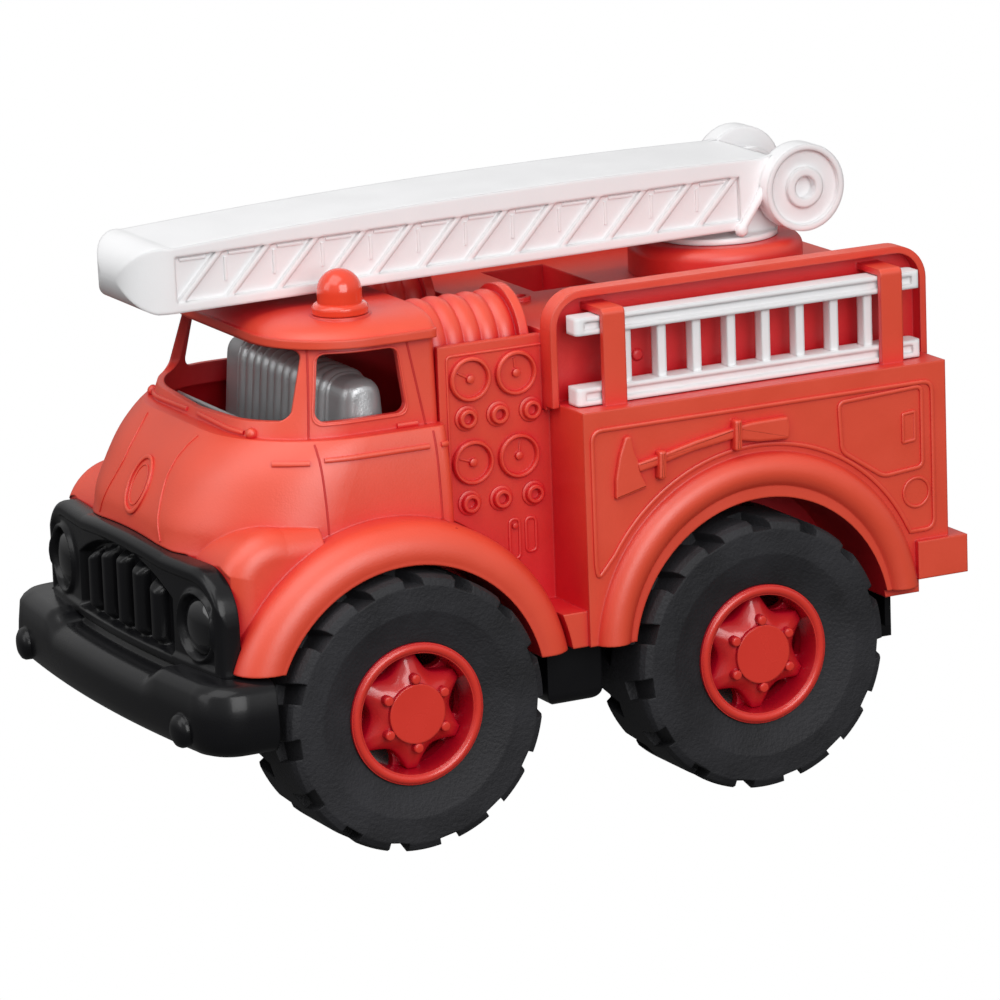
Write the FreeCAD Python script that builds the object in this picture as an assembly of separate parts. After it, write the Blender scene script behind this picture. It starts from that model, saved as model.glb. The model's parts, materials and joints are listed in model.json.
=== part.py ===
"""Toy fire engine: hollow moulded cab and body on a black chassis, with a turning, lifting ladder.

Millimetres. +Z is up, the nose points along -Y and +X is the truck's left side.
The origin is on the ground, under the middle of the overall box.
"""
import math
import os

import FreeCAD, Part

V = FreeCAD.Vector
ALONG_X = V(1, 0, 0)
ALONG_Y = V(0, 1, 0)
UP = V(0, 0, 1)

# ---- overall sizes and stations ---------------------------------------------
wheelbase = 118.8
front_overhang = 72.4         # front axle to bumper face
rear_overhang = 75.6          # rear axle to tail step
overall_width = 158.8         # over the tyres
overall_height = 188.7        # ground to the top of the pivot discs
length = front_overhang + wheelbase + rear_overhang
y_nose = -length / 2
y_tail = length / 2
y_front = y_nose + front_overhang
y_rear = y_tail - rear_overhang

# ---- wheels -----------------------------------------------------------------
tyre_radius = 42.7
tyre_width = 34.0
tyre_shoulder = 3.0
lug_count = 15                # grooves a side
lug_depth = 3.2
lug_gap = 6.2
lug_reach = 13.0              # how far a groove runs in from its side
lug_slant = 14.0              # degrees
rim_radius = 21.9
rim_lip = 3.2
rim_inset = 1.6               # rim face behind the tyre's face
sidewall_flat = 10.0          # flat ring of the side wall outside the rim
dish_depth = 10.0
dish_web = 3.0
dish_draft = 0.6
cap_radius = 9.2
cap_skin = 4.0
peg_radius = 1.6
peg_circle = 10.7
peg_count = 6
peg_drop = 0.5                # pegs end this far behind the cap's face
spoke_window = 5.0
window_bite = 0.2             # windows reach this far into the rim's wall
hub_sleeve = 3.0              # wall round the axle
axle_radius = 3.0
push_fit = 0.02
running_fit = 0.05
axle_end_gap = 0.2
side_play = 0.6

z_axle = tyre_radius
x_tyre_face = overall_width / 2
x_tyre_inner = x_tyre_face - tyre_width

# ---- walls and clearances ---------------------------------------------------
wall = 2.2
seat_gap = 0.2                # between mouldings that rest on each other
lap = 1.0                     # how far joined or cut volumes run into each other
arch_radius = 45.0
arch_play = 2.4               # tyre's inner face to the arch's inner wall
arch_inner_x = x_tyre_inner - arch_play
rear_arch_lift = 3.6          # rear arch stands higher than its wheel
rear_arch_back = 2.2

# ---- heights that follow from the overall height ----------------------------
pivot_disc_radius = 13.9
pivot_z = overall_height - pivot_disc_radius
ladder_drop = 11.6            # pivot to the ladder's lower edge
drum_drop = 16.2              # pivot to the drum's top
rim_drop = 14.9               # pivot to the top of the rack rims
deck_drop = 26.8
gauge_drop = 28.0
ledge_drop = 49.3
belt_drop = 50.6
ladder_bottom = pivot_z - ladder_drop
drum_top = pivot_z - drum_drop
rim_top = pivot_z - rim_drop
deck_z = pivot_z - deck_drop
gauge_top = pivot_z - gauge_drop
ledge_z = pivot_z - ledge_drop
belt_z = pivot_z - belt_drop

# ---- chassis ----------------------------------------------------------------
chassis_half = arch_inner_x - wall - 2 * seat_gap
chassis_bottom = 30.0
body_bottom = 52.5
chassis_top = body_bottom
step_half = 64.0              # centre block under the running boards
step_bottom = 33.0
step_overlap = 6.0            # the block runs in under the fenders
step_round = 4.0
axle_boss_radius = 7.0
flap_thick = 2.0
flap_bottom = 39.5
flap_x0 = 44.0
flap_x1 = 61.0
flap_bracket = 6.0
flap_gap = 4.0                # rear arch's wall to flap

# ---- cab --------------------------------------------------------------------
cab_length = 82.2             # nose face to cab back
nose_setback = 14.3           # bumper face to nose face
nose_straight_z = belt_z - 33.0
nose_band = 18.0              # half width of the nose's flat middle
cab_half = 60.5
back_round = 2.5
screen_height = 27.8          # belt to the gutter's middle
roof_z = belt_z + screen_height
roof_crown = 6.0
gutter_front = 1.0
gutter_side = 3.0
gutter_height = 2.6
screen_setback = 23.2         # nose face to windscreen foot
screen_rake = 10.4            # how far the screen leans back
glass_half = 51.6
glass_lean = 1.2              # how far each side leans in up to the gutter
screen_round = 28.0           # plan radius of the screen's corners
fender_root = 57.0
fender_x = 75.0
fender_edge = 1.2
fender_crown_in = 1.7         # crown's middle in from the edge and down from the root
fender_crown_down = 3.6
fender_root_x = 66.0
fender_lift = 8.2             # body's lower edge up to the fender's front foot
pod_half = 63.8
pod_top = 100.5
pod_round = 8.0
pod_brow = 20.0               # front face back to where the pod's top is level
pod_drop = 11.0               # how far its front top falls over that length
pod_inner = 32.0
pod_back = 21.6               # front axle to the pod's back
pod_setback = 5.0
window_round = 3.0
screen_sill = 5.2             # belt to the screen opening at its sides
screen_dip = 2.2              # lower still at its middle
screen_header = 1.9           # gutter's middle down to the screen opening
screen_half = 45.0
screen_taper = 2.5
screen_depth = 24.0           # how far back its cut reaches
door_sill = 4.6
door_header = 2.9
door_depth = 14.0             # past the front pillar's inner face
door_front_low = 40.6         # distances ahead of the cab's back
door_front_high = 37.2
door_back_low = 11.0
door_back_high = 13.4

y_nose_face = y_nose + nose_setback
y_cab_back = y_nose_face + cab_length
y_screen = y_nose_face + screen_setback

# ---- bench seat and dashboard -----------------------------------------------
seat_half = 44.5
seat_back_top = roof_z - 13.5
seat_back_thick = 16.0
seat_back_round = 5.0
bench_top = belt_z - 10.0
bench_depth = 24.0
seat_to_back = 8.9            # back of the cab's floor to the seat back
cab_floor = 2.0
cab_floor_play = 3.0
dash_half = 39.0
dash_depth = 7.0
dash_drop = 1.5
dash_gap = 7.0                # screen foot to dashboard

# ---- rear body --------------------------------------------------------------
body_half = 73.0
rack_half = 53.5              # side walls of the deck, behind the side ladders
rim_x = 58.0
rim_thick = 2.2
rim_corner = 11.0
recess = 37.4                 # cab back to the body's side panels
tail_setback = 5.7            # body back to tail step's face
rack_ahead = 2.4              # rack starts ahead of the side panels
rack_behind = 2.6             # and ends behind the body's back
gauge_half = 51.0
running_board_z = 63.8
running_board_half = 71.5
running_board_run = 12.0      # how far it runs in under the side panel
tail_step_half = 75.0
tail_step_z0 = 57.2
tail_step_z1 = 69.3
tail_step_depth = 17.8
rear_fender_root = 57.0
rear_fender_lift = 5.8        # its hoop is struck higher than its arch
rear_fender_back = 1.9
rear_hoop_inner = 41.5        # hoop's own inner radius, before the arch is cut
rear_fender_bulge = 4.2
rear_fender_edge = 1.5
rear_fender_out = 2.0         # side panel to the fender's outer edge
rear_fender_rise = 7.0        # arch to the fender's widest point
rear_foot = 2.5               # rear fender's back foot above the body's edge
well_x0 = -37.6
well_x1 = -0.6
well_y0 = 22.5                # side panels' front to the well
well_length = 22.2
well_depth = 12.0
socket_x = 8.0                # ring socket beside the well
socket_back = 12.6
socket_radius = 3.8
socket_bore = 2.4
socket_height = 1.4

y_body = y_cab_back + recess
y_body_back = y_tail - tail_setback
y_rack_front = y_body - rack_ahead
y_rack_back = y_body_back + rack_behind

# ---- side ladders and their straps ------------------------------------------
side_ladder_length = 120.8
side_ladder_height = 27.2
side_ladder_thick = 7.4
side_ladder_inset = 2.3       # side panels' front to the ladder's front end
side_rail = 5.4
side_rung = 2.9
side_rung_pitch = 12.1
side_rungs = 8
rail_round = 1.6
rail_groove = 1.5
groove_depth = 1.0
groove_end = 3.0
strap_gap = 0.35
strap_thick = 2.0
strap_width = 7.6
strap_round = 1.8
strap_front = 11.8            # strap's middle in from the ladder's front end
strap_rear = 11.7

# ---- turntable and main ladder ----------------------------------------------
drum_radius = 27.8
drum_round = 4.0
turn_back = 45.8              # tail step's face to the turntable's axis
y_turn = y_tail - turn_back
disc_radius = 20.0
disc_thick = 1.8
post_radius = 6.0
post_depth = 4.0
pivot_back = 19.9             # pivot axis behind the turntable's axis
y_pivot = y_turn + pivot_back
pivot_disc_thick = 5.0
pivot_rim = 2.0
pivot_boss = 6.4
pivot_bore = 3.6
pivot_recess = 1.6
pin_radius = 3.0
yoke_thick = 4.0
yoke_foot = 15.0
yoke_round = 8.0
yoke_x = 9.0
ladder_half = 19.0
ladder_top_front = ladder_bottom + 20.0
ladder_top_rear = ladder_bottom + 21.8
ladder_arch = 2.2             # crown of the upper edge
ladder_tip = 228.4            # pivot axis to the ladder's tip
ladder_heel = 8.0             # pivot axis to the ladder's heel
ladder_wall = 2.4
nose_low = 8.0                # tip back to where its underside starts
nose_high = 13.0              # tip back to where its top starts
nose_rise = 9.5
nose_flat = 5.0               # half width of the tip's flat front
heel_cut = 13.0
arm_depth = 9.5
ladder_rest = 0.6             # degrees the ladder lies nose down at rest
truss_cells = 12
truss_border = 3.0
truss_depth = 1.4
truss_bar = 2.6
truss_sink = 0.3

# ---- small fittings ---------------------------------------------------------
beacon_x = 35.0
beacon_back = 58.3            # nose face to beacon
beacon_radius = 6.9
beacon_flange = 8.6
beacon_height = 13.4
beacon_foot = 2.0
beacon_rise = 6.1             # gutter's middle to the roof pads the beacons stand on
beacon_seat = roof_z + beacon_rise
pad_border = 0.8
reel_x = 31.5
reel_drop = 5.2               # deck down to the reels' axis
reel_z = deck_z - reel_drop
reel_radius = 15.4
reel_flange = 16.9
reel_flange_thick = 3.0
reel_groove = 1.2
reel_hub = 6.0
reel_hub_end = 2.0
reel_wraps = 5

# ---- bumper and grille ------------------------------------------------------
bumper_half = 78.0
bumper_bottom = 37.5
bumper_low_top = 54.8
bumper_horn_top = 59.5
bumper_depth = 20.0
bumper_wrap = 27.0            # how far the ends reach back from the face
bumper_bow = 3.5
bumper_corner = 14.0
bumper_web = 9.0
horn_inset = 27.0             # horns start this far in from the grille's side
grille_half = 65.0
grille_bottom = 57.0
grille_top = 91.0
grille_hump = 1.5
grille_corner = 12.0
grille_shoulder = 30.0
grille_setback = 10.3         # bumper face to the grille's middle
grille_bow = 4.5              # sides behind the middle
grille_thick = 6.5
grille_pocket = 4.2
grille_lower_bar = 3.5
grille_upper_bar = 4.5
fin_pitch = 11.9
fin_thick = 3.4
fin_spaces = 6
fin_inset = 0.8
lamp_x = 50.6
lamp_radius = 9.6
lamp_ring = 1.8
lamp_proud = 1.4
lamp_sink = 1.6
lamp_z = 72.8
fog_x = 60.0
fog_z = 44.6
fog_radius = 5.2
fog_back = 1.4
fog_depth = 8.0
reach_through = 60.0          # longer than any cut that uses it has to go


# ---- shape helpers ----------------------------------------------------------
def box(x0, x1, y0, y1, z0, z1):
    return Part.makeBox(x1 - x0, y1 - y0, z1 - z0, V(x0, y0, z0))


def rod(radius, start, direction, span):
    return Part.makeCylinder(radius, span, start, direction)


def mirror(shape):
    return shape.mirror(V(0, 0, 0), ALONG_X)


def both(shape):
    return shape.fuse(mirror(shape))


def plan_wire(z, half, y0, y1, r_front, r_back):
    """Rounded oblong seen from above: half width, front and back in Y, and its corner radii."""
    def corner(x, y, radius, first):
        spots = []
        for turn in (0, 45, 90):
            angle = math.radians(first + turn)
            spots.append(V(x + radius * math.cos(angle), y + radius * math.sin(angle), z))
        return spots
    spots = [
        corner(half - r_front, y0 + r_front, r_front, -90),
        corner(half - r_back, y1 - r_back, r_back, 0),
        corner(-half + r_back, y1 - r_back, r_back, 90),
        corner(-half + r_front, y0 + r_front, r_front, 180),
    ]
    edges = []
    for here, after in zip(spots, spots[1:] + spots[:1]):
        edges.append(Part.Arc(*here).toShape())
        edges.append(Part.makeLine(here[-1], after[0]))
    return Part.Wire(edges)


def loft(sections, ruled=False):
    return Part.makeLoft([plan_wire(*s) for s in sections], True, ruled)


def extrude(points, direction):
    """Prism from a closed outline of points."""
    face = Part.Face(Part.makePolygon(points + points[:1]))
    return face.extrude(direction)


def round_prism(points, radius, direction):
    """Prism from an outline of points, with every corner along it rounded."""
    solid = extrude(points, direction)
    unit = V(direction).normalize()
    along = [e for e in solid.Edges if abs(abs(e.tangentAt(e.FirstParameter).dot(unit)) - 1) < 1e-6]
    return solid.makeFillet(radius, along)


def ring_profile(points_xr, y, z):
    """Turn a closed outline of (x, radius) points about the X line through y, z."""
    outline = [V(x, y, z + r) for x, r in points_xr]
    face = Part.Face(Part.makePolygon(outline + outline[:1]))
    return face.revolve(V(0, y, z), ALONG_X, 360)


def save(name, shape):
    solid = shape.removeSplitter()
    print(name, len(solid.Solids), "solid(s)", round(solid.Volume), "mm3", solid.isValid())
    solid.exportStep("parts/" + name + ".step")


# ---- wheels -----------------------------------------------------------------
def tyre(y, side):
    """Lugged tyre. side is 1 on the left of the truck and -1 on the right."""
    face = x_tyre_face
    inner = x_tyre_inner
    shoulder = tyre_shoulder
    chamfer = 0.3 * shoulder
    outline = [
        (inner, rim_radius + push_fit), (inner, tyre_radius - shoulder),
        (inner + chamfer, tyre_radius - chamfer), (inner + shoulder, tyre_radius),
        (face - shoulder, tyre_radius), (face - chamfer, tyre_radius - chamfer),
        (face, tyre_radius - shoulder), (face, rim_radius + sidewall_flat),
        (face - rim_inset - 1.0, rim_radius + push_fit),
    ]
    solid = ring_profile(outline, y, z_axle)
    step = 360.0 / lug_count
    for x_edge, lean, turn in ((face, 1, 0.0), (inner, -1, 0.5)):
        for i in range(lug_count):
            cut = box(-lug_reach, lug_reach, -lug_gap / 2, lug_gap / 2, -lug_depth, 2 * lug_depth)
            cut.rotate(V(0, 0, 0), UP, lean * lug_slant)
            cut.translate(V(x_edge, 0, tyre_radius))
            cut.rotate(V(0, 0, 0), ALONG_X, (i + turn) * step)
            cut.translate(V(0, y, z_axle))
            solid = solid.cut(cut)
    return solid if side > 0 else mirror(solid)


def hub(y, side):
    """Six-spoked wheel centre with a flat cap and pegs, open at the back."""
    face = x_tyre_face - rim_inset
    dish = face - dish_depth
    inner = x_tyre_inner
    bore = rim_radius - rim_lip
    sleeve = axle_radius + hub_sleeve
    outline = [
        (inner, sleeve), (dish - dish_web, sleeve), (dish - dish_web, bore), (inner, bore),
        (inner, rim_radius), (face, rim_radius), (face, bore), (dish, bore - dish_draft),
        (dish, cap_radius), (face, cap_radius), (face, 0.0), (face - cap_skin, 0.0),
        (face - cap_skin, axle_radius + push_fit), (inner, axle_radius + push_fit),
    ]
    solid = ring_profile(outline, y, z_axle)
    for i in range(peg_count):
        angle = math.radians(360.0 / peg_count * (i + 0.5))
        y_peg = y + peg_circle * math.cos(angle)
        z_peg = z_axle + peg_circle * math.sin(angle)
        peg = rod(peg_radius, V(dish, y_peg, z_peg), ALONG_X, dish_depth - peg_drop)
        solid = solid.fuse(peg)
    web_edge = bore - dish_draft + window_bite
    keep = rod(web_edge, V(inner, y, z_axle), ALONG_X, tyre_width)
    for i in range(peg_count):
        angle = math.radians(360.0 / peg_count * i)
        y_cut = y + web_edge * math.cos(angle)
        z_cut = z_axle + web_edge * math.sin(angle)
        start = V(dish - dish_web - lap, y_cut, z_cut)
        window = rod(spoke_window, start, ALONG_X, dish_web + 2 * lap)
        solid = solid.cut(window.common(keep))
    return solid if side > 0 else mirror(solid)


def axle(y):
    reach = x_tyre_face - rim_inset - cap_skin - axle_end_gap
    return rod(axle_radius, V(-reach, y, z_axle), ALONG_X, 2 * reach)


# ---- chassis, bumper and grille ---------------------------------------------
FRONT_ARCH = (y_front, z_axle)
REAR_ARCH = (y_rear + rear_arch_back, z_axle + rear_arch_lift)
REAR_HOOP = (y_rear + rear_fender_back, z_axle + rear_fender_lift)


def arch(centre, radius, x_in):
    """The room a wheel needs on the left side, out past the tyre."""
    y, z = centre
    return rod(radius, V(x_in, y, z), ALONG_X, x_tyre_face + lug_reach - x_in)


def chassis():
    """Open tray, with a wider open block under the running boards and a boss at each axle."""
    y0 = y_nose + bumper_depth + seat_gap
    y1 = y_body_back - wall
    above = chassis_top + lap
    tray = box(-chassis_half, chassis_half, y0, y1, chassis_bottom, chassis_top)
    y_block = y_front + fender_root - step_overlap
    y_block_end = REAR_HOOP[0] - rear_fender_root + step_overlap
    block = box(-step_half, step_half, y_block, y_block_end, step_bottom, chassis_top)
    block = block.makeFillet(step_round, [e for e in block.Edges
                                          if abs(e.CenterOfMass.z - step_bottom) < 0.01])
    solid = tray.fuse(block)
    solid = solid.cut(box(-chassis_half + wall, chassis_half - wall, y0 + wall, y1 - wall,
                          chassis_bottom + wall, above))
    solid = solid.cut(both(box(chassis_half, step_half - step_round, y_block + step_round,
                               y_block_end - step_round, step_bottom + wall, above)))
    reach = x_tyre_inner - side_play
    for y in (y_front, y_rear):
        solid = solid.fuse(rod(axle_boss_radius, V(-reach, y, z_axle), ALONG_X, 2 * reach))
        solid = solid.cut(rod(axle_radius + running_fit, V(-x_tyre_face, y, z_axle), ALONG_X,
                              2 * x_tyre_face))
    y_flap = REAR_ARCH[0] + arch_radius + wall + flap_gap
    bracket = box(0, flap_x1, y_flap, y_flap + flap_thick, chassis_top - flap_bracket, chassis_top)
    flap = box(flap_x0, flap_x1, y_flap, y_flap + flap_thick, flap_bottom, chassis_top)
    return solid.fuse(both(bracket.fuse(flap)))


def bumper_wire(z, inset, slack=0.0):
    """Plan of the wrap-round bar at height z: an arc in front, round corners and straight ends.

    inset shrinks its outer face, and slack lengthens its ends and its back for the room it needs.
    """
    side = bumper_half - inset
    face = y_nose + inset + bumper_bow
    tip = y_nose + bumper_wrap + slack
    back = y_nose + bumper_depth + slack
    inner = bumper_half - bumper_web - slack
    turn = (1 - math.sqrt(0.5)) * bumper_corner
    right = [V(side - bumper_corner, face, z), V(side - turn, face + turn, z),
             V(side, face + bumper_corner, z), V(side, tip, z), V(inner, tip, z),
             V(inner, back, z)]
    left = [V(-p.x, p.y, p.z) for p in right]
    edges = [Part.Arc(left[0], V(0, y_nose + inset, z), right[0]).toShape(),
             Part.Arc(right[0], right[1], right[2]).toShape()]
    edges += [Part.makeLine(p, q) for p, q in zip(right[2:], right[3:])]
    edges.append(Part.makeLine(right[-1], left[-1]))
    edges += [Part.makeLine(p, q) for p, q in zip(left[:2:-1], left[-2:1:-1])]
    edges.append(Part.Arc(left[2], left[1], left[0]).toShape())
    return Part.Wire(edges)


# height above the bar's foot and inset of its outline there: a rolled-under lower edge
BUMPER_ROLL = ((0.0, 5.0), (1.4, 2.6), (3.4, 1.0), (6.5, 0.0))


def horns(slack):
    """The bar's raised ends, from its low top up."""
    low = bumper_low_top - lap
    block = Part.Face(bumper_wire(low, -slack, slack)).extrude(
        V(0, 0, bumper_horn_top + slack - low))
    middle = grille_half - horn_inset - slack
    return block.cut(box(-middle, middle, y_nose - lap, 0, low - lap, bumper_horn_top + lap))


def bumper():
    """Front bar with a raised horn at each end and two fog lamps."""
    wires = [bumper_wire(bumper_bottom + rise, inset) for rise, inset in BUMPER_ROLL]
    wires.append(bumper_wire(bumper_low_top, 0.0))
    bar = Part.makeLoft(wires, True, True)
    raised = horns(0.0).cut(grille_envelope(seat_gap).common(grille_drum(-seat_gap)))
    lamp = rod(fog_radius, V(fog_x, y_nose + fog_back, fog_z), ALONG_Y, fog_depth)
    return bar.fuse(raised).fuse(both(lamp))


def bumper_room():
    """What the bumper takes out of the cab behind it."""
    wire = bumper_wire(bumper_bottom, -seat_gap, seat_gap)
    bar = Part.Face(wire).extrude(V(0, 0, bumper_low_top + seat_gap - bumper_bottom))
    return bar.fuse(horns(seat_gap))


def grille_outline(grow):
    """Front view of the panel, seen along Y: round top corners and a raised middle."""
    half = grille_half + grow
    low = grille_bottom - grow
    top = grille_top + grow
    corner = grille_corner
    turn = (1 - math.sqrt(0.5)) * corner
    shoulder = grille_shoulder
    y = y_nose
    edges = [
        Part.makeLine(V(-half, y, low), V(half, y, low)),
        Part.makeLine(V(half, y, low), V(half, y, top - corner)),
        Part.Arc(V(half, y, top - corner), V(half - turn, y, top - turn),
                 V(half - corner, y, top)).toShape(),
        Part.makeLine(V(half - corner, y, top), V(shoulder, y, top)),
        Part.Arc(V(shoulder, y, top), V(0, y, top + grille_hump), V(-shoulder, y, top)).toShape(),
        Part.makeLine(V(-shoulder, y, top), V(-half + corner, y, top)),
        Part.Arc(V(-half + corner, y, top), V(-half + turn, y, top - turn),
                 V(-half, y, top - corner)).toShape(),
        Part.makeLine(V(-half, y, top - corner), V(-half, y, low)),
    ]
    return Part.Face(Part.Wire(edges)).extrude(V(0, reach_through, 0))


def grille_drum(inset):
    """Upright drum whose front is the panel's bowed face, moved back by inset."""
    radius = (grille_half ** 2 + grille_bow ** 2) / (2 * grille_bow)
    low = grille_bottom - lap - seat_gap
    centre = V(0, y_nose + grille_setback + radius, low)
    return rod(radius - inset, centre, UP, reach_through)


def grille_envelope(grow):
    return grille_outline(grow).cut(grille_drum(grille_thick + grow))


def grille():
    """Bowed panel with upright fins in a pocket and a ring round each headlamp."""
    block = grille_outline(0.0).common(grille_drum(0.0)).cut(grille_drum(grille_thick))
    half_pocket = fin_pitch * fin_spaces / 2
    y0 = y_nose
    floor = grille_bottom + grille_lower_bar
    ceiling = grille_top + grille_hump - grille_upper_bar
    arc_radius = 2 * half_pocket
    pocket = box(-half_pocket, half_pocket, y0, y0 + reach_through, floor, grille_top)
    pocket = pocket.common(rod(arc_radius, V(0, y0, ceiling - arc_radius), ALONG_Y, reach_through))
    block = block.cut(pocket.cut(grille_drum(grille_pocket)))
    for i in range(fin_spaces - 1):
        x = (i - (fin_spaces - 2) / 2) * fin_pitch
        fin = box(x - fin_thick / 2, x + fin_thick / 2, y0, y0 + reach_through,
                  floor - lap, ceiling + lap)
        fin = fin.common(grille_drum(fin_inset)).cut(grille_drum(grille_pocket + fin_inset))
        block = block.fuse(fin.common(grille_outline(-lap)))
    start = V(lamp_x, y0, lamp_z)
    dish = rod(lamp_radius - lamp_ring, start, ALONG_Y, reach_through)
    ring = rod(lamp_radius, start, ALONG_Y, reach_through).cut(dish)
    ring = ring.common(grille_drum(-lamp_proud)).cut(grille_drum(lamp_ring))
    dish = dish.common(grille_drum(-2 * lamp_proud)).cut(grille_drum(lamp_sink))
    return block.cut(both(dish)).fuse(both(ring))


# ---- cab --------------------------------------------------------------------
def arched_fender(centre, profile, z_front, z_back):
    """Half hoop over the left wheel, turned from a profile in x and radius and cut off level."""
    y, z = centre
    hoop = Part.Face(Part.Wire(profile)).revolve(V(0, y, z), ALONG_X, 360)
    far = 2 * tyre_radius
    hoop = hoop.cut(box(0, 2 * fender_x, y - far, y, -far, z_front))
    return hoop.cut(box(0, 2 * fender_x, y, y + far, -far, z_back))


def hoop_profile(centre, inner, x_edge, edge, crown, x_root, root):
    """Section of a wheel-arch hoop: upright outer edge, then a crown of (x, radius) to its root."""
    y, z = centre

    def at(x, r):
        return V(x, y, z + r)
    return [
        Part.makeLine(at(arch_inner_x, inner), at(x_edge, inner)),
        Part.makeLine(at(x_edge, inner), at(x_edge, arch_radius + edge)),
        Part.Arc(at(x_edge, arch_radius + edge), at(*crown), at(x_root, root)).toShape(),
        Part.makeLine(at(x_root, root), at(arch_inner_x, root)),
        Part.makeLine(at(arch_inner_x, root), at(arch_inner_x, inner)),
    ]


# share of the height from the nose's straight part to the belt, setback of the front from the
# nose face, and how far each side comes in
NOSE_CURVE = (
    (0.00, 0.0, 0.0),
    (0.17, 1.1, 0.1),
    (0.32, 2.7, 0.4),
    (0.46, 4.9, 0.8),
    (0.60, 7.3, 1.3),
    (0.74, 10.2, 2.0),
    (0.88, 14.1, 3.0),
    (1.00, 18.6, 4.4),
)


def cab_lower(inset):
    """Body below the belt: upright to the lamps' height, then curving back to the screen."""
    low = body_bottom + seat_gap - (lap if inset else 0.0)
    y1 = y_cab_back - inset
    corner = cab_half - nose_band - inset
    sections = []
    for share, setback, narrow in NOSE_CURVE:
        z = nose_straight_z + share * (belt_z - inset - nose_straight_z)
        sections.append((z, cab_half - narrow - inset, y_nose_face + setback + inset, y1,
                         corner - narrow, back_round))
    foot = (low,) + sections[0][1:]
    return loft([foot, sections[0]], True).fuse(loft(sections))


def cab_upper(z0, z1, inset):
    """Glass house between two heights, leaning back and in."""
    rows = []
    for z in (z0, z1):
        share = (z - belt_z) / screen_height
        rows.append((z, glass_half - glass_lean * share - inset,
                     y_screen + screen_rake * share + inset, y_cab_back - inset,
                     screen_round - inset, back_round))
    return loft(rows, True)


# rise above the gutter as a share of the crown, inset of the front, inset of the sides
ROOF_CROWN = (
    (0.18, 0.0, 1.2),
    (0.48, 1.6, 2.8),
    (0.75, 5.0, 6.2),
    (0.93, 11.0, 12.0),
    (1.00, 19.0, 19.5),
)


def roof():
    """Gutter round the cab's top with a low crown inside it."""
    y0 = y_screen + screen_rake
    half = glass_half - glass_lean + gutter_side
    low = roof_z - gutter_height / 2
    high = roof_z + gutter_height / 2
    gutter = loft([(z, half, y0 - gutter_front, y_cab_back, screen_round, back_round)
                   for z in (low, high)], True)
    rows = []
    for share, back, side in ROOF_CROWN:
        rows.append((roof_z + share * roof_crown, half - side, y0 + back, y_cab_back,
                     screen_round - side, back_round))
    return gutter.fuse(loft(rows))


def pod():
    """Shoulder between the nose and the fender, with a long brow and a rounded outer side."""
    y0 = y_nose_face + pod_setback
    y1 = y_front - pod_back
    low = bumper_horn_top + seat_gap
    turn = 1 - math.sqrt(0.5)
    brow = Part.Arc(V(pod_inner, y0, pod_top - pod_drop),
                    V(pod_inner, y0 + turn * pod_brow, pod_top - turn * pod_drop),
                    V(pod_inner, y0 + pod_brow, pod_top)).toShape()
    corners = [V(pod_inner, y0 + pod_brow, pod_top), V(pod_inner, y1, pod_top),
               V(pod_inner, y1, low), V(pod_inner, y0, low), V(pod_inner, y0, pod_top - pod_drop)]
    sides = [Part.makeLine(a, b) for a, b in zip(corners, corners[1:])]
    face = Part.Face(Part.Wire([brow] + sides))
    block = face.extrude(V(pod_half - pod_inner, 0, 0))
    edges = [e for e in block.Edges
             if e.BoundBox.XMin > pod_half - 0.01 and e.CenterOfMass.y < y1 - lap
             and e.CenterOfMass.z > low + lap]
    return block.makeFillet(pod_round, edges)


def screen_opening():
    """Windscreen hole, lowest at its middle."""
    y = y_screen - lap
    low = belt_z + screen_sill
    high = roof_z - screen_header
    side = screen_half - screen_taper
    outline = [V(0, y, low - screen_dip), V(screen_half, y, low), V(side, y, high),
               V(-side, y, high), V(-screen_half, y, low)]
    return round_prism(outline, window_round, V(0, screen_depth, 0))


def door_opening():
    """Side window over the left wheel."""
    x = glass_half - door_depth
    low = belt_z + door_sill
    high = roof_z - door_header
    outline = [V(x, y_cab_back - door_front_low, low), V(x, y_cab_back - door_back_low, low),
               V(x, y_cab_back - door_back_high, high), V(x, y_cab_back - door_front_high, high)]
    return round_prism(outline, window_round, V(door_depth + gutter_side, 0, 0))


def cab_shell():
    """Hollow cab: nose, shoulders, fenders, glass house and roof in one moulding."""
    outer = cab_lower(0.0).fuse(cab_upper(belt_z - wall, roof_z, 0.0)).fuse(roof())
    crown = (fender_x - fender_crown_in, fender_root - fender_crown_down)
    hoop = arched_fender(FRONT_ARCH,
                         hoop_profile(FRONT_ARCH, arch_radius, fender_x, fender_edge, crown,
                                      fender_root_x, fender_root),
                         body_bottom + fender_lift, body_bottom + seat_gap)
    outer = outer.fuse(both(hoop.fuse(pod())))
    y_pad = y_nose_face + beacon_back
    pad = rod(beacon_flange + pad_border, V(beacon_x, y_pad, roof_z), UP, beacon_rise)
    above = rod(beacon_flange + pad_border, V(beacon_x, y_pad, beacon_seat), UP, roof_crown)
    outer = outer.fuse(both(pad)).cut(both(above))
    hollow = cab_lower(wall).fuse(cab_upper(nose_straight_z + wall, roof_z, wall))
    liner = arch(FRONT_ARCH, arch_radius + wall, arch_inner_x - wall)
    shell = outer.cut(hollow.cut(both(liner)))
    shell = shell.cut(both(arch(FRONT_ARCH, arch_radius, arch_inner_x)))
    shell = shell.cut(screen_opening()).cut(both(door_opening()))
    return shell.cut(grille_envelope(seat_gap)).cut(bumper_room())


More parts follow.
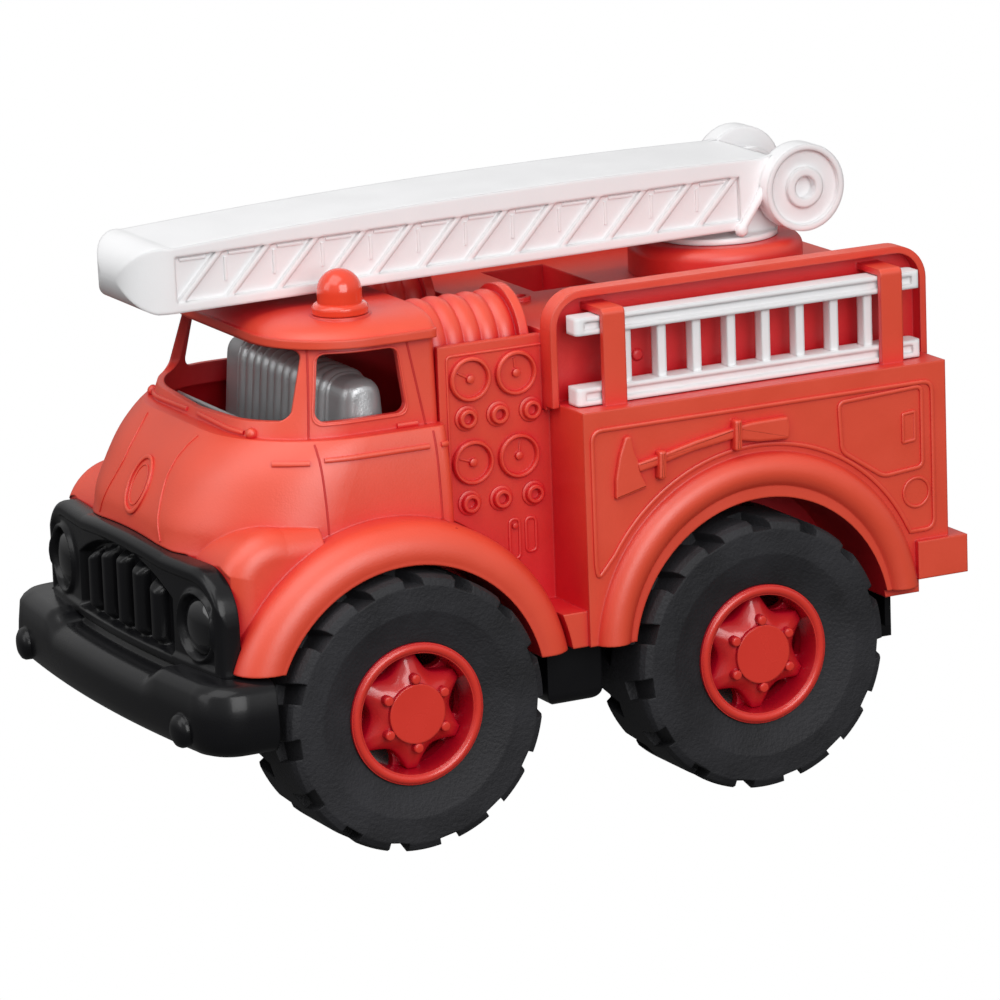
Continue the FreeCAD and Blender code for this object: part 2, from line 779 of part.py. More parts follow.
def interior():
    """Bench seat and dashboard on one floor that rests over the wheel arches."""
    floor_z = z_axle + arch_radius + wall + seat_gap
    half = glass_half - wall - cab_floor_play
    y_back = y_cab_back - wall - cab_floor_play
    y_dash = y_screen + dash_gap
    floor = box(-half, half, y_dash, y_back, floor_z, floor_z + cab_floor)
    y_seat = y_back - seat_to_back
    back = box(-seat_half, seat_half, y_seat - seat_back_thick, y_seat, floor_z, seat_back_top)
    back = back.makeFillet(seat_back_round, [e for e in back.Edges
                                             if abs(e.CenterOfMass.z - seat_back_top) < 0.01])
    bench = box(-seat_half, seat_half, y_seat - bench_depth, y_seat - lap, floor_z, bench_top)
    dash = box(-dash_half, dash_half, y_dash, y_dash + dash_depth, floor_z, belt_z - dash_drop)
    return floor.fuse(back).fuse(bench).fuse(dash)


# ---- rear body --------------------------------------------------------------
trough_floor = reel_z - reel_flange - seat_gap


def rack_slab(grow, x0, x1, z_low):
    """Upright plate along the deck with round top corners, smaller all round by grow."""
    front = y_rack_front + grow
    back = y_rack_back - grow
    top = rim_top - grow
    outline = [V(x0, front, z_low), V(x0, back, z_low), V(x0, back, top), V(x0, front, top)]
    solid = extrude(outline, V(x1 - x0, 0, 0))
    return solid.makeFillet(rim_corner - grow, [
        e for e in solid.Edges if abs(e.CenterOfMass.z - top) < 0.01
        and abs(e.CenterOfMass.x - (x0 + x1) / 2) < 0.01 and e.Length < x1 - x0 + 0.01])


def rack():
    """Left wall of the deck, with the frame round the side ladder's recess on its outside."""
    frame = rack_slab(0.0, rack_half - rim_thick, rim_x, ledge_z - lap)
    return frame.cut(rack_slab(rim_thick, rack_half, rim_x + lap, ledge_z - 2 * lap))


def strap(y):
    """Hook over the side ladder: an upright on the ledge and an arm back to the rack."""
    x_out = rim_x + strap_gap + side_ladder_thick + strap_gap
    top = ledge_z + strap_gap + side_ladder_height + strap_gap
    x_edge = x_out + strap_thick
    z_edge = top + strap_thick
    half = strap_width / 2
    loop = box(rack_half - lap, x_edge, y - half, y + half, ledge_z - lap, z_edge)
    loop = loop.makeFillet(strap_round, [e for e in loop.Edges
                                         if abs(e.CenterOfMass.x - x_edge) < 0.01
                                         and abs(e.CenterOfMass.z - z_edge) < 0.01])
    return loop.cut(box(rack_half, x_out, y - strap_width, y + strap_width, ledge_z, top))


def rear_body():
    """Hollow rear body: side panels, ladder racks, gauge block, boards, fenders and step."""
    low = body_bottom + seat_gap
    y_gauge = y_cab_back + seat_gap
    outer = box(-body_half, body_half, y_body, y_body_back, low, ledge_z)
    outer = outer.fuse(box(-rack_half, rack_half, y_rack_front, y_rack_back, ledge_z - wall, deck_z))
    outer = outer.fuse(box(-gauge_half, gauge_half, y_gauge, y_body + lap, low, gauge_top))
    y_step = y_front + arch_radius
    outer = outer.fuse(box(-running_board_half, running_board_half, y_step,
                           y_body + running_board_run, low, running_board_z))
    outer = outer.fuse(box(-tail_step_half, tail_step_half, y_tail - tail_step_depth, y_tail,
                           tail_step_z0, tail_step_z1))
    crown = (body_half + rear_fender_bulge, arch_radius + rear_fender_rise)
    hoop = arched_fender(REAR_HOOP,
                         hoop_profile(REAR_HOOP, rear_hoop_inner, body_half + rear_fender_out,
                                      rear_fender_edge, crown, body_half - lap,
                                      rear_fender_root),
                         low, low + rear_foot)
    outer = outer.fuse(both(hoop))

    hollow = box(-body_half + wall, body_half - wall, y_body + wall, y_body_back - wall,
                 low - lap, ledge_z - wall)
    hollow = hollow.fuse(box(-rack_half + wall, rack_half - wall, y_body + wall,
                             y_rack_back - wall, ledge_z - 2 * wall, deck_z - wall))
    hollow = hollow.fuse(box(-gauge_half + wall, gauge_half - wall, y_gauge + wall,
                             y_body + 2 * wall, low - lap, trough_floor - wall))
    y_well = y_body + well_y0
    y_well_end = y_well + well_length
    z_well = deck_z - well_depth
    hollow = hollow.cut(box(well_x0 - wall, well_x1 + wall, y_well - wall, y_well_end + wall,
                            z_well - wall, deck_z))
    hollow = hollow.cut(both(arch(REAR_ARCH, arch_radius + wall, arch_inner_x - wall)))
    hollow = hollow.cut(both(arch(FRONT_ARCH, fender_root + seat_gap + wall, arch_inner_x - wall)))
    body = outer.cut(hollow).fuse(both(rack()))
    body = body.cut(both(arch(REAR_ARCH, arch_radius, arch_inner_x)))
    body = body.cut(both(arch(FRONT_ARCH, fender_root + seat_gap, arch_inner_x - seat_gap)))
    body = body.cut(both(box(chassis_half + seat_gap, body_half + lap,
                             REAR_HOOP[0] + rear_fender_root, y_tail + lap,
                             low - lap, tail_step_z0)))
    trough_half = gauge_half - wall
    body = body.cut(box(-trough_half, trough_half, y_gauge - lap, y_rack_front, trough_floor,
                        rim_top))
    body = body.cut(box(well_x0, well_x1, y_well, y_well_end, z_well, deck_z + lap))
    foot = V(socket_x, y_body + socket_back, deck_z)
    body = body.fuse(rod(socket_radius, foot, UP, socket_height))
    body = body.cut(rod(socket_bore, foot - UP * (wall - lap), UP, socket_height + wall))
    y0 = y_body + side_ladder_inset
    for y in (y0 + strap_front, y0 + side_ladder_length - strap_rear):
        body = body.fuse(both(strap(y)))
    return body


def drum():
    solid = rod(drum_radius, V(0, y_turn, deck_z), UP, drum_top - deck_z)
    rim = [e for e in solid.Edges if abs(e.BoundBox.ZMin - drum_top) < 0.01]
    solid = solid.makeFillet(drum_round, rim)
    return solid.cut(rod(post_radius + running_fit, V(0, y_turn, drum_top - post_depth), UP,
                         post_depth + lap))


def beacon(side):
    x = side * beacon_x
    y = y_nose_face + beacon_back
    base = beacon_seat + seat_gap
    dome_z = base + beacon_height - beacon_radius
    foot = rod(beacon_flange, V(x, y, base), UP, beacon_foot)
    stem = rod(beacon_radius, V(x, y, base), UP, dome_z - base)
    dome = Part.makeSphere(beacon_radius, V(x, y, dome_z))
    dome = dome.cut(rod(2 * beacon_radius, V(x, y, base - lap), UP, dome_z - base))
    return foot.fuse(stem).fuse(dome)


def hose_reel(side):
    """Wound hose between the cab and the deck, with its end flange on a short hub."""
    y0 = y_cab_back + 2 * seat_gap
    y1 = y_rack_front - seat_gap
    low = reel_radius - reel_groove
    y_flange = y1 - reel_hub_end - reel_flange_thick
    pitch = (y_flange - y0) / reel_wraps
    wire = []
    for i in range(reel_wraps):
        start = V(0, y0 + i * pitch, low)
        crest = V(0, y0 + (i + 0.5) * pitch, reel_radius)
        end = V(0, y0 + (i + 1) * pitch, low)
        wire.append(Part.Arc(start, crest, end).toShape())
    y_face = y_flange + reel_flange_thick
    corners = [V(0, y_flange, low), V(0, y_flange, reel_flange), V(0, y_face, reel_flange),
               V(0, y_face, reel_hub), V(0, y1, reel_hub), V(0, y1, 0), V(0, y0, 0),
               V(0, y0, low)]
    wire += [Part.makeLine(a, b) for a, b in zip(corners, corners[1:])]
    solid = Part.Face(Part.Wire(wire)).revolve(V(0, 0, 0), ALONG_Y, 360)
    solid.translate(V(side * reel_x, 0, reel_z))
    return solid


# ---- ladders ----------------------------------------------------------------
def side_ladder(side):
    """Two grooved rails joined by rungs, standing on the ledge outside the rack."""
    x0 = rim_x + strap_gap
    x1 = x0 + side_ladder_thick
    y0 = y_body + side_ladder_inset
    y1 = y0 + side_ladder_length
    z0 = ledge_z + strap_gap
    z1 = z0 + side_ladder_height
    rails = []
    for low in (z0, z1 - side_rail):
        rail = box(x0, x1, y0, y1, low, low + side_rail)
        rail = rail.makeFillet(rail_round, [e for e in rail.Edges
                                            if abs(e.CenterOfMass.z - low - side_rail / 2) < 0.01])
        rails.append(rail.cut(box(x1 - groove_depth, x1 + lap, y0 + groove_end, y1 - groove_end,
                                  low + rail_groove, low + side_rail - rail_groove)))
    solid = rails[0].fuse(rails[1])
    first = (y0 + y1) / 2 - side_rung_pitch * (side_rungs - 1) / 2
    half = side_rung / 2
    for i in range(side_rungs):
        y = first + i * side_rung_pitch
        solid = solid.fuse(box(x0 + rail_round, x1 - rail_round, y - half, y + half,
                               z0 + side_rail / 2, z1 - side_rail / 2))
    return solid if side > 0 else mirror(solid)


pin_x = ladder_half - ladder_wall


def turntable():
    """Round plate and two ears that carry the ladder's pins, on a post in the drum."""
    base = drum_top + seat_gap
    top = base + disc_thick
    solid = rod(disc_radius, V(0, y_turn, base), UP, disc_thick)
    solid = solid.fuse(rod(post_radius, V(0, y_turn, base - post_depth), UP,
                           post_depth + disc_thick))
    foot = y_turn + math.sqrt(disc_radius ** 2 - (yoke_x + yoke_thick) ** 2) - lap
    plate = extrude([V(yoke_x, foot - yoke_foot, top - lap / 2), V(yoke_x, foot, top - lap / 2),
                     V(yoke_x, y_pivot + yoke_round, pivot_z),
                     V(yoke_x, y_pivot - yoke_round, pivot_z)], V(yoke_thick, 0, 0))
    plate = plate.fuse(rod(yoke_round, V(yoke_x, y_pivot, pivot_z), ALONG_X, yoke_thick))
    plate = plate.cut(rod(pin_radius + running_fit, V(0, y_pivot, pivot_z), ALONG_X, pin_x))
    return solid.fuse(both(plate))


def ladder_side(y_tip, y_heel, half, low, top_front, top_rear):
    """Side view of the boom as a prism across the truck: round nose and a slightly arched top."""
    x = -half
    tip_low = V(x, y_tip + nose_low, low)
    tip_top = V(x, y_tip + nose_high, top_front)
    nose = V(x, y_tip, low + nose_rise)
    crown = V(x, (y_tip + y_heel) / 2, (top_front + top_rear) / 2 + ladder_arch)
    heel_top = V(x, y_heel, top_rear)
    heel_low = V(x, y_heel - heel_cut, low)
    edges = [
        Part.makeLine(heel_low, tip_low),
        Part.Arc(tip_low, nose, tip_top).toShape(),
        Part.Arc(tip_top, crown, heel_top).toShape(),
        Part.makeLine(heel_top, heel_low),
    ]
    return Part.Face(Part.Wire(edges)).extrude(V(2 * half, 0, 0))


def ladder_plan(inset):
    """Round-nosed plan of the boom as a tall prism."""
    heights = (ladder_bottom - 2 * lap, pivot_z + pivot_disc_radius)
    return loft([(z, ladder_half - inset, y_pivot - ladder_tip + inset, y_pivot,
                  ladder_half - nose_flat - inset, back_round) for z in heights], True)


def truss(y_tip, y_heel):
    """Room cut from the left side of the boom, with one slanting bar left in each cell."""
    y0 = y_tip + nose_high + lap
    y1 = y_heel - heel_cut
    pitch = (y1 - y0) / truss_cells
    z0 = ladder_bottom + truss_border
    z1 = ladder_top_front - truss_border
    x0 = ladder_half - truss_depth
    cells = []
    for i in range(truss_cells):
        a = y0 + i * pitch
        b = a + pitch - truss_bar
        cell = box(x0, ladder_half + lap, a, a + pitch, z0, z1)
        bar = extrude([V(x0, a, z0), V(x0, a + truss_bar, z0), V(x0, b + truss_bar, z1),
                       V(x0, b, z1)], V(truss_depth - truss_sink, 0, 0))
        cells.append(cell.cut(bar))
    return cells


def main_ladder():
    """Hollow boom with truss relief on its sides and two arms that end in pivot discs."""
    y_tip = y_pivot - ladder_tip
    y_heel = y_pivot - ladder_heel
    block = ladder_side(y_tip, y_heel, ladder_half, ladder_bottom, ladder_top_front,
                        ladder_top_rear)
    room = ladder_side(y_tip + ladder_wall, y_heel, ladder_half, ladder_bottom - lap,
                       ladder_top_front - ladder_wall, ladder_top_rear - ladder_wall)
    solid = block.common(ladder_plan(0.0)).cut(room.common(ladder_plan(ladder_wall)))
    for cell in truss(y_tip, y_heel):
        solid = solid.cut(both(cell))

    top = ladder_top_rear
    arm = extrude([V(pin_x, y_heel - heel_cut, top - arm_depth),
                   V(pin_x, y_pivot, pivot_z - pin_radius - lap),
                   V(pin_x, y_pivot, pivot_z + pivot_disc_radius - pivot_rim),
                   V(pin_x, y_heel - heel_cut, top - lap)], V(ladder_wall, 0, 0))
    face = ladder_half + pivot_disc_thick
    disc = rod(pivot_disc_radius, V(pin_x, y_pivot, pivot_z), ALONG_X, face - pin_x)
    sunk = V(face - pivot_recess, y_pivot, pivot_z)
    dish = rod(pivot_disc_radius - pivot_rim, sunk, ALONG_X, pivot_recess + lap)
    dish = dish.cut(rod(pivot_boss, sunk, ALONG_X, pivot_recess + lap))
    bore = rod(pivot_bore, sunk - ALONG_X * pivot_recess, ALONG_X, 2 * pivot_recess + lap)
    pin = rod(pin_radius, V(yoke_x, y_pivot, pivot_z), ALONG_X, pin_x - yoke_x + lap)
    solid = solid.fuse(both(arm.fuse(disc.cut(dish).cut(bore)).fuse(pin)))
    solid.rotate(V(0, y_pivot, pivot_z), ALONG_X, ladder_rest)
    return solid


# ---- write every piece ------------------------------------------------------
def main():
    os.makedirs("parts", exist_ok=True)
    save("chassis", chassis())
    save("front_bumper", bumper())
    save("grille", grille())
    save("cab_shell", cab_shell())
    save("cab_interior", interior())
    save("rear_body", rear_body())
    save("turntable_drum", drum())
    save("turntable", turntable())
    save("main_ladder", main_ladder())
    for name, side in (("left", 1), ("right", -1)):
        save("beacon_" + name, beacon(side))
        save("hose_reel_" + name, hose_reel(side))
        save("side_ladder_" + name, side_ladder(side))
    for end, y in (("front", y_front), ("rear", y_rear)):
        save(end + "_axle", axle(y))
        for name, side in (("left", 1), ("right", -1)):
            save(end + "_hub_" + name, hub(y, side))
            save(end + "_tyre_" + name, tyre(y, side))


main()
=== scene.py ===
# %% [markdown]
# # A toy fire engine, dressed for its portrait
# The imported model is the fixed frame. It gives the true size and place of every moulding. This
# lesson adds what a moulding has besides its main form: raised lines, dials, an axe, a pleated
# seat, a soft-edged bumper and grille, the finishes, the lights and the camera.

# %% Load the frame
import json

import bmesh
import bpy
import numpy as np
from mathutils import Matrix, Vector


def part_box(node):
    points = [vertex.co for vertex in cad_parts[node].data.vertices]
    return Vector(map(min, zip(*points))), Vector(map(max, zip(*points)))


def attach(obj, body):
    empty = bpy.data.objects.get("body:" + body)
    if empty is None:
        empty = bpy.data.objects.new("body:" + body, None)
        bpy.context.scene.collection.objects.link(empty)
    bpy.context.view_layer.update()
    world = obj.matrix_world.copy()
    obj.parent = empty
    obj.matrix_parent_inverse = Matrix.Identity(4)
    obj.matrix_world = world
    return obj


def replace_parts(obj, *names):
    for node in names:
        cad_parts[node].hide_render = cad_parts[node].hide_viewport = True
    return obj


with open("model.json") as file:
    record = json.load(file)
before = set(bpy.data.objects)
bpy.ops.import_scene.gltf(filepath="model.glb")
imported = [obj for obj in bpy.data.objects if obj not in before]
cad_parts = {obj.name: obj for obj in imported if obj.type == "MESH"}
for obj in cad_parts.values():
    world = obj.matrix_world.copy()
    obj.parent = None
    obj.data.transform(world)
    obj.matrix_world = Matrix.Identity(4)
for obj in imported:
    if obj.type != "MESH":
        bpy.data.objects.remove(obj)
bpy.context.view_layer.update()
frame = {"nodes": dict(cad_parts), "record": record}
nodes = frame["nodes"]

# %% [markdown]
# ## Boxes taken from the frame
# New pieces have to follow the mouldings that they belong to, so each is placed from an edge or a
# face that is measured on the frame. A moulding's box gives its ends. Lengths are in millimetres
# until a mesh is made, because a toy's details are a few millimetres across. The nose points along
# -Y, and the left side along +X.

# %% Boxes
MM = 0.001


def node_box(name):
    """Lowest and highest corner of one CAD node, in millimetres."""
    low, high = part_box(name)
    return np.array(low) / MM, np.array(high) / MM


cab_low, cab_high = node_box("cab_shell")
grille_low, grille_high = node_box("grille")
bumper_low, bumper_high = node_box("front_bumper")
seat_low, seat_high = node_box("cab_interior")
boom_low, boom_high = node_box("main_ladder")
rear_wheel = np.mean(node_box("rear_tyre_left"), axis=0)
print("cab", cab_low.round(1), cab_high.round(1))
print("boom", boom_low.round(1), boom_high.round(1))

# %% [markdown]
# ## Flat faces between the ends
# A box says nothing of a face that lies inside it, such as the side panel below the ladder rack.
# A ray finds it: it starts outside the truck, and the first thing that it meets is the face.

# %% Flat faces
LEFTWARD, BACKWARD, UPWARD = np.eye(3)


def met(name, start, direction):
    """Point of a node that a ray meets first, and the surface's normal there."""
    origin = Vector(np.asarray(start) * MM)
    found, where, normal, _ = nodes[name].ray_cast(origin, Vector(direction))
    return (np.array(where) / MM, np.array(normal)) if found else None


def face_at(name, start, direction):
    """Where a flat face lies on the axis of the ray that finds it: its x for a ray along X."""
    point, _ = met(name, start, direction)
    return float(point[np.argmax(np.abs(direction))])


panel_x = face_at("rear_body", [90, 60, 115], -LEFTWARD)
panel_front = face_at("rear_body", [70, -30, 100], BACKWARD)
panel_top = face_at("rear_body", [70, 5, 170], -UPWARD)
gauge_x = face_at("rear_body", [90, -20, 120], -LEFTWARD)
gauge_top = face_at("rear_body", [50, -20, 180], -UPWARD)
rack_x = face_at("rear_body", [90, 30, 136], -LEFTWARD)
cab_back = face_at("cab_shell", [40, 10, 120], -BACKWARD)
print("side panel: x", round(panel_x, 1), "front", round(panel_front, 1), "top", round(panel_top, 1))
print("pump panel: x", round(gauge_x, 1), "front", round(cab_back, 1), "top", round(gauge_top, 1))

# %% [markdown]
# ## A surface as a table of points
# Drawing each face by hand would be slow and uneven. A surface here is a table of points with rows
# and columns, worked out as whole arrays, and one tool makes the faces between neighbours. A shape
# is a pair from here on: an array of points and a list of faces.

# %% Grid
def grid(points, wrap_rows=False, wrap_cols=False, caps=False):
    """Faces between neighbouring points of a (rows, columns, 3) table, wrapped where asked.

    caps closes the first and the last row, each with one face.
    """
    rows, cols = points.shape[:2]
    numbers = np.arange(rows * cols).reshape(rows, cols)
    index = numbers
    if wrap_rows:
        index = np.vstack([index, index[:1]])
    if wrap_cols:
        index = np.hstack([index, index[:, :1]])
    quads = np.stack([index[:-1, :-1], index[1:, :-1], index[1:, 1:], index[:-1, 1:]], axis=-1)
    faces = quads.reshape(-1, 4).tolist()
    if caps:
        faces += [numbers[0].tolist(), numbers[-1, ::-1].tolist()]
    return points.reshape(-1, 3), faces


def gather(*shapes):
    """Several shapes as one: their points in a row, and each one's faces moved up to match."""
    verts, faces, count = [], [], 0
    for points, own in shapes:
        verts.append(points)
        faces += [[i + count for i in face] for face in own]
        count += len(points)
    return np.vstack(verts), faces


print("a table of 3 x 4 points makes", len(grid(np.zeros((3, 4, 3)))[1]), "faces")

# %% [markdown]
# ## A profile carried along a path
# A raised line, a rod and a trim strip are each one small section carried along a path. A curve
# with a bevel could do it too, but this way the section's outward side can follow a curved wall.

# %% Sweep
def unit(vectors):
    """Each vector over its own length."""
    return vectors / np.linalg.norm(vectors, axis=-1, keepdims=True)


def swept(path, profile, normals, closed=False):
    """Carry a profile of (across, outward) points along a path.

    Each row is path + across * side + outward * normal, where side = tangent x normal, and the
    tangent is the difference between the points before and after.
    """
    if closed:
        tangents = np.roll(path, -1, axis=0) - np.roll(path, 1, axis=0)
    else:
        tangents = np.gradient(path, axis=0)
    normals = np.broadcast_to(np.asarray(normals, float), path.shape)
    side = unit(np.cross(unit(tangents), normals))
    rows = (path[:, None] + profile[None, :, :1] * side[:, None]
            + profile[None, :, 1:] * normals[:, None])
    return grid(rows, wrap_rows=closed, wrap_cols=True, caps=not closed)


# %% [markdown]
# ## A profile turned about an axis
# Dials, ports, lenses, pegs and rings are round, so each is a profile turned about an axis, as on
# a lathe. The hub's star is turned too: its radius only changes with the angle.

# %% Lathe
def circle(steps):
    """Points (cos, sin) at equal steps round a circle of radius 1."""
    angle = np.linspace(0, 2 * np.pi, steps, endpoint=False)
    return np.column_stack([np.cos(angle), np.sin(angle)])


def turned(profile, centre, axis, steps=40, wave=None, closed=False):
    """Turn a profile of (radius, along) points about an axis: centre + along * axis + radius * ring.

    wave may change the radius with the angle: it is called with (radius, angle). A closed profile
    makes a ring, and any other is capped at both ends.
    """
    axis = unit(np.asarray(axis, float))
    first = unit(np.cross(axis, UPWARD if abs(axis[2]) < 0.9 else LEFTWARD))
    second = np.cross(axis, first)
    ring = circle(steps) @ np.array([first, second])
    radius = profile[:, :1]
    if wave:
        radius = wave(radius, np.linspace(0, 2 * np.pi, steps, endpoint=False)[None, :])
    radius = np.broadcast_to(radius, (len(profile), steps))
    rows = np.asarray(centre) + profile[:, 1, None, None] * axis + radius[..., None] * ring[None]
    return grid(rows, wrap_rows=closed, wrap_cols=True, caps=not closed)


# %% [markdown]
# ## Outlines and raised plates
# The axe and its clips are flat plates with a soft edge. Each starts from the few corners that its
# outline has, which are rounded, and the edge is bevelled by moving the top ring inwards.

# %% Rounded outline and plate
def rounded(corners, radius, steps=6, closed=True):
    """Outline through corners, each rounded by the curve (1-t)^2 a + 2(1-t)t corner + t^2 b."""
    corners = np.asarray(corners, float)
    inner = corners if closed else corners[1:-1]
    before = np.roll(corners, 1, axis=0) if closed else corners[:-2]
    after = np.roll(corners, -1, axis=0) if closed else corners[2:]
    a = inner + unit(before - inner) * radius
    b = inner + unit(after - inner) * radius
    t = np.linspace(0, 1, steps)[None, :, None]
    curve = (1 - t) ** 2 * a[:, None] + 2 * (1 - t) * t * inner[:, None] + t ** 2 * b[:, None]
    path = curve.reshape(-1, corners.shape[1])
    if closed:
        return path
    return np.vstack([corners[:1], path, corners[-1:]])


def plate(outline, height, bevel, sink=0.6):
    """Raised plate over a closed outline of (a, b) points, as (a, b, out) points.

    Its rings stand at -sink, height - bevel and height. The top ring is moved in by bevel along
    the mean of its two neighbouring edge normals, and a last ring keeps the top's shading flat.
    """
    along = unit(np.roll(outline, -1, axis=0) - np.roll(outline, 1, axis=0))
    area = np.sum(outline[:, 0] * np.roll(outline[:, 1], -1)
                  - outline[:, 1] * np.roll(outline[:, 0], -1))
    inward = np.stack([-along[:, 1], along[:, 0]], axis=-1) * np.sign(area)
    rings = [(outline, -sink), (outline, height - bevel),
             (outline + inward * 0.3 * bevel, height - 0.3 * bevel),
             (outline + inward * bevel, height), (outline + inward * 1.15 * bevel, height)]
    rows = np.stack([np.column_stack([ring, np.full(len(ring), out)]) for ring, out in rings])
    return grid(rows, wrap_cols=True, caps=True)


print("a rounded square has", len(rounded([[0, 0], [9, 0], [9, 9], [0, 9]], 2.0)), "points")

# %% [markdown]
# ## Laying a shape on the truck
# A relief is drawn flat, as (a, b, out) points, and then laid on its wall by three axes. The toy is
# the same on both sides, so each relief is made for the left side and mirrored.

# %% Laid, mirrored and paired
def laid(shape, origin, a_axis, b_axis, out_axis):
    """Place (a, b, out) points: origin + a * a_axis + b * b_axis + out * out_axis."""
    points, faces = shape
    return np.asarray(origin, float) + points @ np.array([a_axis, b_axis, out_axis]), faces


def mirrored(shape):
    """The same shape on the other side of the truck."""
    points, faces = shape
    return points * [-1, 1, 1], [face[::-1] for face in faces]


def paired(shape):
    """A shape and its mirror image as one."""
    return gather(shape, mirrored(shape))


# %% [markdown]
# ## From a shape to a piece
# The finished mesh is merged at its poles and seams, and its normals are made to point outwards,
# because mirrored shapes would otherwise be inside out. It rides on the body that it moves with.

# %% Pieces
def piece(name, shape, material, body="truck", crease=35.0):
    """One mesh object from a shape in millimetres, riding on a body of the frame."""
    points, faces = shape
    mesh = bpy.data.meshes.new(name)
    mesh.from_pydata((points * MM).tolist(), [], faces)
    work = bmesh.new()
    work.from_mesh(mesh)
    bmesh.ops.remove_doubles(work, verts=work.verts, dist=2e-6)
    bmesh.ops.recalc_face_normals(work, faces=work.faces)
    work.to_mesh(mesh)
    work.free()
    mesh.shade_smooth()
    mesh.set_sharp_from_angle(angle=np.radians(crease))
    mesh.materials.append(material)
    obj = bpy.data.objects.new(name, mesh)
    bpy.context.scene.collection.objects.link(obj)
    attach(obj, body)
    print(name, len(mesh.polygons), "faces")
    return obj


def both_sides(name, shape, material, body="truck"):
    """A piece for the left side from a shape, and one for the right from its mirror image."""
    piece(name + "_left", shape, material, body)
    piece(name + "_right", mirrored(shape), material, body)


# %% [markdown]
# ## Building node trees in few words
# A material is a tree of nodes. Added one call at a time it takes pages, so two helpers do it: one
# for a group's sockets, and one that adds a node and joins or sets its inputs by name.

# %% Sockets and nodes
def socket(group, name, kind, way, value=None):
    """New input or output of a group, with its default value where one is given."""
    made = group.interface.new_socket(name=name, in_out=way, socket_type=kind)
    if value is not None:
        made.default_value = value
    return made


def node(tree, kind, links=(), **settings):
    """Add a node with settings by name, and give each named input its source socket or value."""
    made = tree.nodes.new(kind)
    for key, value in settings.items():
        setattr(made, key, value)
    for name, source in links:
        if isinstance(source, bpy.types.NodeSocket):
            tree.links.new(source, made.inputs[name])
        else:
            made.inputs[name].default_value = source
    return made


# %% [markdown]
# ## The moulded surface
# Every moulding of this toy is one colour right through, so its finish is in its surface: a
# faint grain left by the mould, a slightly uneven shine, and a soft waviness where thick plastic
# shrank. All the plastics share these, so they are made once as a node group, which puts out a
# height for the bump, the roughness and a slight mottling of the colour.

# %% The moulded surface, as a node group
def moulded_surface():
    """Group: height = waviness + grain, and roughness and colour both follow one slow noise."""
    group = bpy.data.node_groups.new("moulded_surface", "ShaderNodeTree")
    socket(group, "Colour", "NodeSocketColor", "INPUT", (0.5, 0.5, 0.5, 1))
    socket(group, "Roughness", "NodeSocketFloat", "INPUT", 0.4)
    socket(group, "Grain", "NodeSocketFloat", "INPUT", 0.5)
    socket(group, "Grain scale", "NodeSocketFloat", "INPUT", 1500.0)
    socket(group, "Mottle", "NodeSocketFloat", "INPUT", 0.03)
    socket(group, "Colour", "NodeSocketColor", "OUTPUT")
    socket(group, "Roughness", "NodeSocketFloat", "OUTPUT")
    socket(group, "Height", "NodeSocketFloat", "OUTPUT")
    given = node(group, "NodeGroupInput").outputs
    place = node(group, "ShaderNodeTexCoord").outputs["Object"]
    grain = node(group, "ShaderNodeTexNoise", [("Vector", place), ("Scale", given["Grain scale"]),
                                               ("Detail", 3.0), ("Roughness", 0.6)])
    waves = node(group, "ShaderNodeTexNoise", [("Vector", place), ("Scale", 28.0), ("Detail", 1.0)])
    patches = node(group, "ShaderNodeTexNoise", [("Vector", place), ("Scale", 55.0),
                                                 ("Detail", 4.0)])
    fine = node(group, "ShaderNodeMath", [(0, grain.outputs["Fac"]), (1, given["Grain"])],
                operation="MULTIPLY")
    height = node(group, "ShaderNodeMath", [(0, waves.outputs["Fac"]), (1, 1.4),
                                            (2, fine.outputs[0])], operation="MULTIPLY_ADD")
    uneven = node(group, "ShaderNodeMapRange", [("Value", patches.outputs["Fac"]),
                                                ("From Min", 0.3), ("From Max", 0.7),
                                                ("To Min", -0.045), ("To Max", 0.045)])
    rough = node(group, "ShaderNodeMath", [(0, given["Roughness"]), (1, uneven.outputs[0])],
                 operation="ADD", use_clamp=True)
    shade = node(group, "ShaderNodeMath", [(0, uneven.outputs[0]), (1, 22.0)],
                 operation="MULTIPLY")
    bright = node(group, "ShaderNodeMath", [(0, shade.outputs[0]), (1, given["Mottle"]), (2, 1.0)],
                  operation="MULTIPLY_ADD")
    colour = node(group, "ShaderNodeHueSaturation", [("Color", given["Colour"]),
                                                     ("Value", bright.outputs[0])])
    node(group, "NodeGroupOutput", [("Colour", colour.outputs["Color"]),
                                    ("Roughness", rough.outputs[0]),
                                    ("Height", height.outputs[0])])
    return group


MOULDED = moulded_surface()
print("the moulded surface takes", len(MOULDED.nodes), "nodes")
